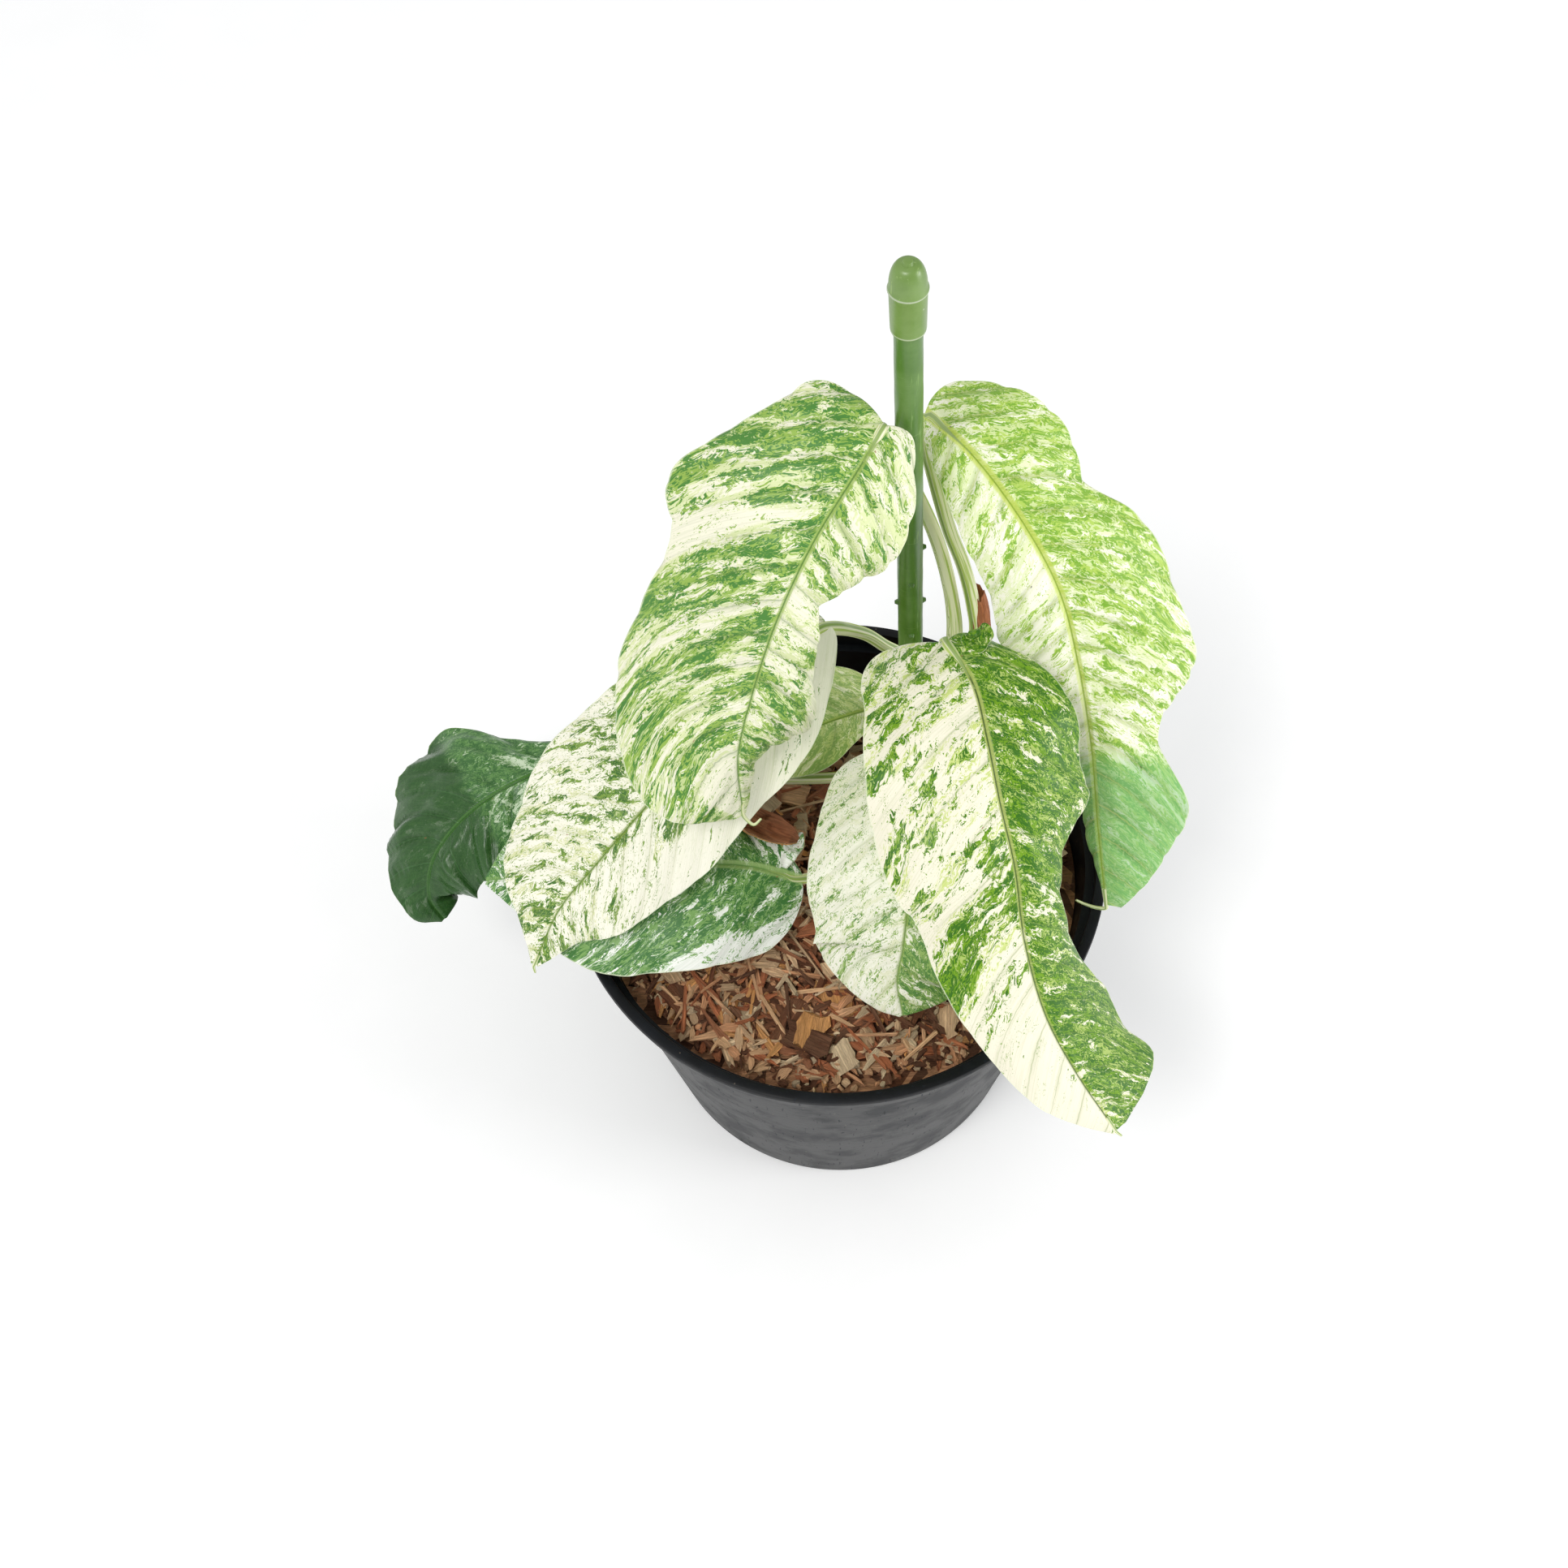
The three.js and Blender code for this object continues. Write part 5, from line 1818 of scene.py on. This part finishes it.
    def lay(
        self,
        mesh: BMesh,
        shape: bpy.types.Mesh,
        kind: ChipKind,
        rng: random.Random,
        grain: BMLayerItem,
        chip: BMLayerItem,
    ) -> None:
        """Lays one chip on the mix.

        Args:
            mesh: The mesh that gathers the chips.
            shape: The chip to copy.
            kind: The kind of chip.
            rng: The seeded random stream.
            grain: The layer for the chip's own coordinates.
            chip: The layer for its colour draws.
        """
        length, width, depth = self.chip_size(kind, rng)
        reach = self.edge_radius - 2.0 if kind is ChipKind.CRUMB else self.edge_radius - 0.5 * length - 1.0
        radius = reach * math.sqrt(rng.random())
        angle = rng.uniform(0, 2 * math.pi)
        tilt = Euler((rng.gauss(0, 0.32), rng.gauss(0, 0.2), rng.uniform(0, 2 * math.pi)))
        height = self.top(radius) + rng.uniform(-self.SINK, kind.value.lift)
        spot = Vector((radius * math.cos(angle), radius * math.sin(angle), height))
        pick, shadow = rng.random(), rng.random() ** 2
        if (spot.xy - Vector(self.stem_spot)).length < self.STEM_ROOM + 0.5 * length:
            return
        first = len(mesh.verts)
        mesh.from_mesh(shape)
        mesh.verts.ensure_lookup_table()
        fresh = mesh.verts[first:]
        shift = Vector(rng.uniform(-50, 50) for _ in range(3))
        place = Matrix.Translation(spot) @ tilt.to_matrix().to_4x4()
        place @= Matrix.Diagonal((length, width, depth, 1))
        for corner in fresh:
            corner[grain] = Vector((corner.co.x * length, corner.co.y * width, corner.co.z * depth)) + shift
            corner[chip] = (pick, shadow, 0.0)
            corner.co = place @ corner.co

    def build(self, groups: dict[str, NodeTree]) -> list[Object]:
        """Builds and dresses the mix.

        Args:
            groups: The shared node groups by name.

        Returns:
            The bed and the chips.
        """
        material = self.finish.material(groups)
        body = self.body()
        grain, chip = vectors(body, "grain", "chip")
        # The bed shows only in the gaps between the chips, so its second chip value of 0.9 paints a deep
        # shadow there.
        for corner in body.verts:
            corner[grain] = corner.co
            corner[chip] = (0.05 + 0.3 * abs(noise.noise(corner.co * 0.5)), 0.9, 0.0)
        bed = make_piece("mix_bed", body, material, ("potting_mix",), 50.0)
        return [bed, make_piece("mix_chips", self.chips(), material, crease=28.0)]


@dataclass(frozen=True)
class Pot:
    """The thin nursery pot: a tapered wall, a collar step near the top and a flat rim."""

    finish: PlasticFinish = PlasticFinish(
        base=(8, 10, 13), worn=(30, 37, 46), roughness=0.42, gloss=0.2, dust_and_highlight=(120, 108, 96)
    )
    height: float = 112.0
    rim_radius: float = 75.0
    rim_width: float = 3.0
    rim_depth: float = 2.0
    rim_round: float = 0.6
    collar_height: float = 8.0
    collar_radius: float = 73.4
    shoulder_radius: float = 71.0
    base_radius: float = 56.5
    base_chamfer: float = 2.0
    wall: float = 1.35
    floor: float = 1.6
    drain_holes: int = 8
    drain_radius: float = 4.5
    drain_ring: float = 45.0
    sides: int = 160

    def shell(self) -> BMesh:
        """Turns the pot's wall and rim.

        Returns:
            The mesh.
        """
        ledge = self.height - self.collar_height
        rim_foot = self.height - self.rim_depth
        inner = self.rim_radius - self.rim_width
        round_off = self.rim_round
        profile = [
            (0.0, 0.0),
            (self.base_radius - self.base_chamfer, 0.0),
            (self.base_radius - 0.3 * self.base_chamfer, 0.3 * self.base_chamfer),
            (self.base_radius, self.base_chamfer),
            (self.shoulder_radius, ledge),
            (self.collar_radius, ledge),
            (self.collar_radius + 0.4, ledge + 0.6),
            (self.rim_radius - round_off, rim_foot - round_off),
            (self.rim_radius, rim_foot),
            (self.rim_radius, self.height - round_off),
            (self.rim_radius - 0.3 * round_off, self.height - 0.3 * round_off),
            (self.rim_radius - round_off, self.height),
            (inner + round_off, self.height),
            (inner + 0.3 * round_off, self.height - 0.3 * round_off),
            (inner, self.height - round_off),
            (inner, ledge + self.wall),
            (self.shoulder_radius - self.wall, ledge + self.wall),
            (self.base_radius - self.wall, self.floor),
            (0.0, self.floor),
        ]
        return turned(profile, self.sides)

    def drill(self, pot: Object) -> None:
        """Cuts the drain holes through the pot's floor.

        Args:
            pot: The finished pot.
        """
        cutter_mesh = bmesh.new()
        for i in range(self.drain_holes):
            angle = 2 * math.pi * i / self.drain_holes
            spot = Vector((self.drain_ring * math.cos(angle), self.drain_ring * math.sin(angle), 0))
            bmesh.ops.create_cone(
                cutter_mesh, cap_ends=True, segments=40, radius1=self.drain_radius * MM,
                radius2=self.drain_radius * MM, depth=6 * self.floor * MM,
                matrix=Matrix.Translation(spot * MM),
            )
        data = bpy.data.meshes.new("drain_cutter")
        cutter_mesh.to_mesh(data)
        cutter_mesh.free()
        cutter = bpy.data.objects.new("drain_cutter", data)
        bpy.context.scene.collection.objects.link(cutter)
        cut = pot.modifiers.new("drain", "BOOLEAN")
        cut.operation = "DIFFERENCE"
        cut.solver = "EXACT"
        cut.object = cutter
        evaluated = pot.evaluated_get(bpy.context.evaluated_depsgraph_get())
        drilled = bpy.data.meshes.new_from_object(evaluated)
        pot.modifiers.clear()
        pot.data = drilled
        pot.data.name = "pot_shell"
        bpy.data.objects.remove(cutter)

    def build(self, groups: dict[str, NodeTree]) -> list[Object]:
        """Builds and dresses the pot.

        Args:
            groups: The shared node groups by name.

        Returns:
            The pot.
        """
        material = self.finish.material("pot_plastic", groups)
        pot = make_piece("pot_shell", self.shell(), material, ("pot",), 32.0)
        self.drill(pot)
        return [pot]


@dataclass(frozen=True)
class Stake:
    """The plastic-coated plant stake with its moulded nubs and the soft cap on its end."""

    finish: PlasticFinish = PlasticFinish(
        base=(72, 116, 28), worn=(150, 184, 110), roughness=0.3, gloss=0.8, dust_and_highlight=(206, 214, 190),
    )
    cap_finish: PlasticFinish = PlasticFinish(
        base=(96, 132, 38), worn=(164, 194, 116), roughness=0.3, gloss=1.0, dust_and_highlight=(206, 214, 190),
    )
    axis: Point = (23.3, 37.5, 160.0)
    lean: float = 1.5
    radius: float = 3.3
    foot: float = 22.0
    point: float = 12.0
    top: float = 284.0
    nub_start: float = 106.0
    nub_end: float = 206.0
    nub_pitch: float = 11.5
    nub_height: float = 0.8
    nub_foot_radius: float = 1.2
    nub_tip_radius: float = 0.45
    cap_foot: float = 277.0
    cap_top: float = 297.0
    cap_skirt_radius: float = 3.95
    cap_shoulder_radius: float = 4.5
    cap_shoulder: float = 289.0
    cap_seam: float = 0.3
    cap_nib_radius: float = 1.3
    gap: float = 0.3

    SHAFT_SIDES = 32
    CAP_SIDES = 40
    RING_DEPTH = 0.05
    NUB_ROUNDING = 0.12
    NIB_HEIGHT = 0.9

    def place(self, mesh: BMesh) -> BMesh:
        """Moves what was made about the vertical axis onto the stake's axis, which leans a little.

        Args:
            mesh: The mesh to move.

        Returns:
            The same mesh.
        """
        x, y, z = self.axis
        turn = Matrix.Rotation(math.radians(-self.lean), 4, "Y")
        matrix = Matrix.Translation((x, y, z)) @ turn @ Matrix.Translation((0, 0, -z))
        bmesh.ops.transform(mesh, matrix=matrix, verts=mesh.verts)
        return mesh

    def shaft(self) -> BMesh:
        """Builds the shaft with its rings and nubs.

        Returns:
            The mesh.
        """
        profile = [(0.0, self.foot), (self.radius, self.foot + self.point)]
        height = self.foot + self.point + 2
        while height < self.top:
            ring = self.RING_DEPTH * math.cos(2 * math.pi * (height - self.nub_start) / self.nub_pitch)
            profile.append((self.radius + min(0.0, ring), height))
            height += self.nub_pitch / 4
        profile += [(self.radius, self.top), (0.0, self.top)]
        mesh = turned(profile, self.SHAFT_SIDES)
        count = int((self.nub_end - self.nub_start) / self.nub_pitch) + 1
        for i in range(count):
            for side in (0.0, math.pi):
                angle = side + (i % 2) * math.pi / 2
                matrix = Matrix.Translation((0, 0, self.nub_start + i * self.nub_pitch))
                matrix @= Matrix.Rotation(angle, 4, "Z") @ Matrix.Translation((self.radius, 0, 0))
                matrix @= Matrix.Rotation(math.pi / 2, 4, "Y")
                nub = bmesh.ops.create_cone(
                    mesh, cap_ends=True, segments=16, radius1=self.nub_foot_radius,
                    radius2=self.nub_tip_radius, depth=2 * self.nub_height, matrix=matrix,
                )["verts"]
                rim = [edge for edge in mesh.edges if edge.verts[0] in nub and edge.verts[1] in nub]
                bmesh.ops.bevel(
                    mesh, geom=rim, offset=self.NUB_ROUNDING, affect="EDGES", segments=2, profile=0.5,
                    material=-1,
                )
        return self.place(mesh)

    def cap(self) -> BMesh:
        """Builds the cap: a skirt, a raised seam at the shoulder, a dome and a moulding nib.

        Returns:
            The mesh.
        """
        socket = self.radius + self.gap
        shoulder, seam = self.cap_shoulder_radius, self.cap_seam
        profile = [
            (0.0, self.top + self.gap),
            (socket, self.top + self.gap),
            (socket, self.cap_foot),
            (self.cap_skirt_radius, self.cap_foot),
            (self.cap_skirt_radius + 0.05, self.cap_foot + 0.4),
            (shoulder - seam, self.cap_shoulder - 3 * seam),
            (shoulder, self.cap_shoulder - 0.4 * seam),
            (shoulder, self.cap_shoulder + 0.4 * seam),
            (shoulder - seam, self.cap_shoulder + 2 * seam),
        ]
        dome_foot = self.cap_shoulder + 2 * seam
        dome_height = self.cap_top - self.NIB_HEIGHT - dome_foot
        for i in range(1, 9):
            turn = math.radians(8 + 8.4 * i)
            profile.append((
                self.cap_nib_radius + (shoulder - seam - self.cap_nib_radius) * math.cos(turn) ** 0.8,
                dome_foot + dome_height * math.sin(turn),
            ))
        profile += [
            (self.cap_nib_radius, self.cap_top - self.NIB_HEIGHT),
            (self.cap_nib_radius - 0.3, self.cap_top - 0.2),
            (0.0, self.cap_top),
        ]
        return self.place(turned(profile, self.CAP_SIDES))

    def build(self, groups: dict[str, NodeTree]) -> list[Object]:
        """Builds and dresses the stake and its cap.

        Args:
            groups: The shared node groups by name.

        Returns:
            The shaft and the cap.
        """
        coat = self.finish.material("stake_coat", groups)
        # The cap's seam and lip get thin pale lines of painted highlight.
        cap_highlights = (self.cap_shoulder, self.cap_foot + 0.3)
        soft = self.cap_finish.material("cap_plastic", groups, cap_highlights)
        return [
            make_piece("stake_shaft", self.shaft(), coat, ("stake",), 35.0),
            make_piece("stake_end_cap", self.cap(), soft, ("stake_cap",), 45.0),
        ]


@dataclass(frozen=True)
class Stem:
    """The short climbing stem with rings at its nodes."""

    finish: StalkFinish = StalkFinish(pale=(168, 178, 96), green=(112, 142, 58), dark=(150, 120, 78))
    route: tuple[Point, ...] = (
        (29, 26, 58), (30, 27.5, 82), (31.5, 29.5, 104), (34, 32, 126), (36.5, 34.5, 152)
    )
    foot_radius: float = 4.2
    top_radius: float = 3.4
    node_swell: float = 0.45
    nodes: int = 7

    def build(self, groups: dict[str, NodeTree]) -> list[Object]:
        """Builds and dresses the stem.

        Args:
            groups: The shared node groups by name.

        Returns:
            The stem.
        """

        def radius(share: float, angle: float) -> float:
            """Works out the radius at a place on the stem.

            Args:
                share: The share of the length.
                angle: The angle round the stem.

            Returns:
                The radius.
            """
            node = max(0.0, math.cos(2 * math.pi * self.nodes * share)) ** 4
            ring = 0.25 * math.exp(-((((share * self.nodes) % 1 - 0.5) / 0.03) ** 2))
            ribs = 0.06 * math.sin(9 * angle)
            size = self.foot_radius + (self.top_radius - self.foot_radius) * share
            return size + self.node_swell * node + ring + ribs

        bar = Bar(Route(self.route), radius, upward=Vector((0, -1, 0)), around=36, steps=150)
        skin = self.finish.material("stem_skin", groups)
        return [make_piece("climbing_stem", bar.build(), skin, ("stem",))]


@dataclass(frozen=True)
class DrySheath:
    """The papery sheath of an older leaf, open along one side.

    Shade picks its brown among those of the bark, and foot_shadow darkens it towards its foot.
    """

    route: tuple[Point, ...] = ((39.6, 33.4, 147), (41.6, 34.8, 157), (41.4, 36.8, 167), (39.8, 38.8, 176))
    radius: float = 3.2
    taper: float = 0.7
    wrap: float = 1.9
    thickness: float = 0.3
    facing: float = -0.5
    shade: float = 0.58
    foot_shadow: float = 0.8
    torn: float = 0.12
    buckle: float = 0.25

    ACROSS = 24
    UP = 40

    def sheet(self) -> BMesh:
        """Builds the rolled sheet with a ragged top.

        Returns:
            The mesh.
        """
        mesh = bmesh.new()
        bmesh.ops.create_grid(mesh, x_segments=self.ACROSS, y_segments=self.UP, size=1)
        grain, chip = vectors(mesh, "grain", "chip")
        line = Route(self.route)
        for corner in mesh.verts:
            turn, share = corner.co.x, (corner.co.y + 1) / 2
            ragged = 1 - self.torn * abs(noise.noise(Vector((turn * 4, 3.1, 0.7))))
            centre = line.at(share * ragged)
            angle = self.facing + self.wrap * turn
            radius = self.radius - self.taper * share
            radius += self.buckle * noise.noise(Vector((turn * 3, share * 6, 1.3)))
            corner[grain] = (share * line.length, turn * 6, 0.0)
            corner[chip] = (self.shade, self.foot_shadow * (1 - share), 0.0)
            corner.co = centre + Vector((radius * math.cos(angle), radius * math.sin(angle), 0))
        bmesh.ops.solidify(mesh, geom=mesh.faces[:], thickness=self.thickness)
        bmesh.ops.recalc_face_normals(mesh, faces=mesh.faces)
        return mesh

    def build(self, bark: Material) -> list[Object]:
        """Builds and dresses the sheath.

        Args:
            bark: The material with the grain of bark.

        Returns:
            The sheath.
        """
        return [make_piece("papery_sheath", self.sheet(), bark, ("dry_sheath",), 50.0)]


@dataclass(frozen=True)
class Softbox:
    """A square soft light: where it hangs, its side, its power in watts and its tint."""

    name: str
    spot: Point
    size: float
    power: float
    tint: Point

    def hang(self, aim: Point) -> None:
        """Hangs the light in the scene.

        Args:
            aim: The point that it faces.
        """
        data = bpy.data.lights.new(self.name, "AREA")
        data.size = self.size * MM
        data.energy = self.power
        data.color = self.tint
        lamp = bpy.data.objects.new(self.name, data)
        lamp.location = Vector(self.spot) * MM
        lamp.rotation_euler = (Vector(self.spot) - Vector(aim)).to_track_quat("Z", "Y").to_euler()
        bpy.context.scene.collection.objects.link(lamp)


@dataclass(frozen=True)
class Studio:
    """The pale floor, the soft lights and the camera."""

    camera_spot: Point = (-13.125, -250.62, 590.68)
    camera_down: float = 60.4
    camera_roll: float = 4.0
    lens: float = 44.54
    sensor: float = 36.0
    floor_size: float = 6000.0
    floor_glow: float = 0.12
    sky: float = 0.7
    aim: Point = (0.0, 0.0, 120.0)
    lights: tuple[Softbox, ...] = (
        Softbox("key", spot=(-420.0, -560.0, 1300.0), size=380.0, power=6.4, tint=(1.0, 0.99, 0.97)),
        Softbox("side", spot=(1200.0, -300.0, 500.0), size=500.0, power=5.5, tint=(1.0, 1.0, 1.0)),
    )

    def camera(self) -> None:
        """Places the camera at the photograph's viewpoint."""
        down, roll = math.radians(self.camera_down), math.radians(self.camera_roll)
        forward = Vector((0, math.cos(down), -math.sin(down)))
        right = Vector((1, 0, 0))
        up = right.cross(forward)
        across = right * math.cos(roll) - up * math.sin(roll)
        upright = up * math.cos(roll) + right * math.sin(roll)
        data = bpy.data.cameras.new("camera")
        data.lens = self.lens
        data.sensor_width = self.sensor
        data.clip_start, data.clip_end = 0.01, 50.0
        camera = bpy.data.objects.new("camera", data)
        turn = Matrix((across, upright, -forward)).transposed().to_4x4()
        camera.matrix_world = Matrix.Translation(Vector(self.camera_spot) * MM) @ turn
        bpy.context.scene.collection.objects.link(camera)
        bpy.context.scene.camera = camera

    def floor(self) -> None:
        """Lays the pale floor."""
        mesh = bmesh.new()
        bmesh.ops.create_grid(mesh, x_segments=1, y_segments=1, size=self.floor_size * MM / 2)
        data = bpy.data.meshes.new("floor")
        mesh.to_mesh(data)
        mesh.free()
        material, graph, shader = new_material("floor")
        place = graph.scaled(graph.node("TexCoord").outputs["Object"], (40.0, 40.0, 40.0))
        shade = graph.mix(graph.noise(place, 1.0, 3.0), (250, 250, 250), (255, 255, 255))
        graph.put(shader.inputs["Base Color"], shade)
        shader.inputs["Roughness"].default_value = 0.8
        shader.inputs["Emission Color"].default_value = (1.0, 1.0, 1.0, 1.0)
        shader.inputs["Emission Strength"].default_value = self.floor_glow
        data.materials.append(material)
        floor = bpy.data.objects.new("floor", data)
        bpy.context.scene.collection.objects.link(floor)

    def build(self) -> None:
        """Sets up the floor, the sky, the lights and the camera."""
        self.floor()
        self.camera()
        world = bpy.data.worlds.new("sky")
        world.use_nodes = True
        sky = world.node_tree.nodes["Background"]
        sky.inputs["Color"].default_value = (0.98, 0.99, 1.0, 1.0)
        sky.inputs["Strength"].default_value = self.sky
        bpy.context.scene.world = world
        for light in self.lights:
            light.hang(self.aim)
        settings = bpy.context.scene.view_settings
        settings.view_transform = "Standard"
        settings.look = "None"


def main() -> None:
    """Builds the object piece by piece, then the studio round it."""
    logging.basicConfig(level=logging.INFO, format="%(name)s: %(message)s")
    groups = {
        "marbling": marbling_group(),
        "specks": specks_group(),
        "scuffs": scuffs_group(),
        "fibre": fibre_group(),
    }
    pieces = Pot().build(groups)
    pieces += BarkMix().build(groups)
    pieces += Stake().build(groups)
    pieces += Stem().build(groups)
    pieces += DrySheath().build(bpy.data.materials["bark"])
    stalk_finish = StalkFinish()
    for leaf in LEAVES:
        pieces += leaf.build(groups, stalk_finish)
    for flap in FLAPS:
        pieces += flap.build()
    Studio().build()
    faces = sum(len(piece.data.polygons) for piece in pieces)
    LOG.info("%d pieces, %d faces", len(pieces), faces)


if __name__ == "__main__":
    main()
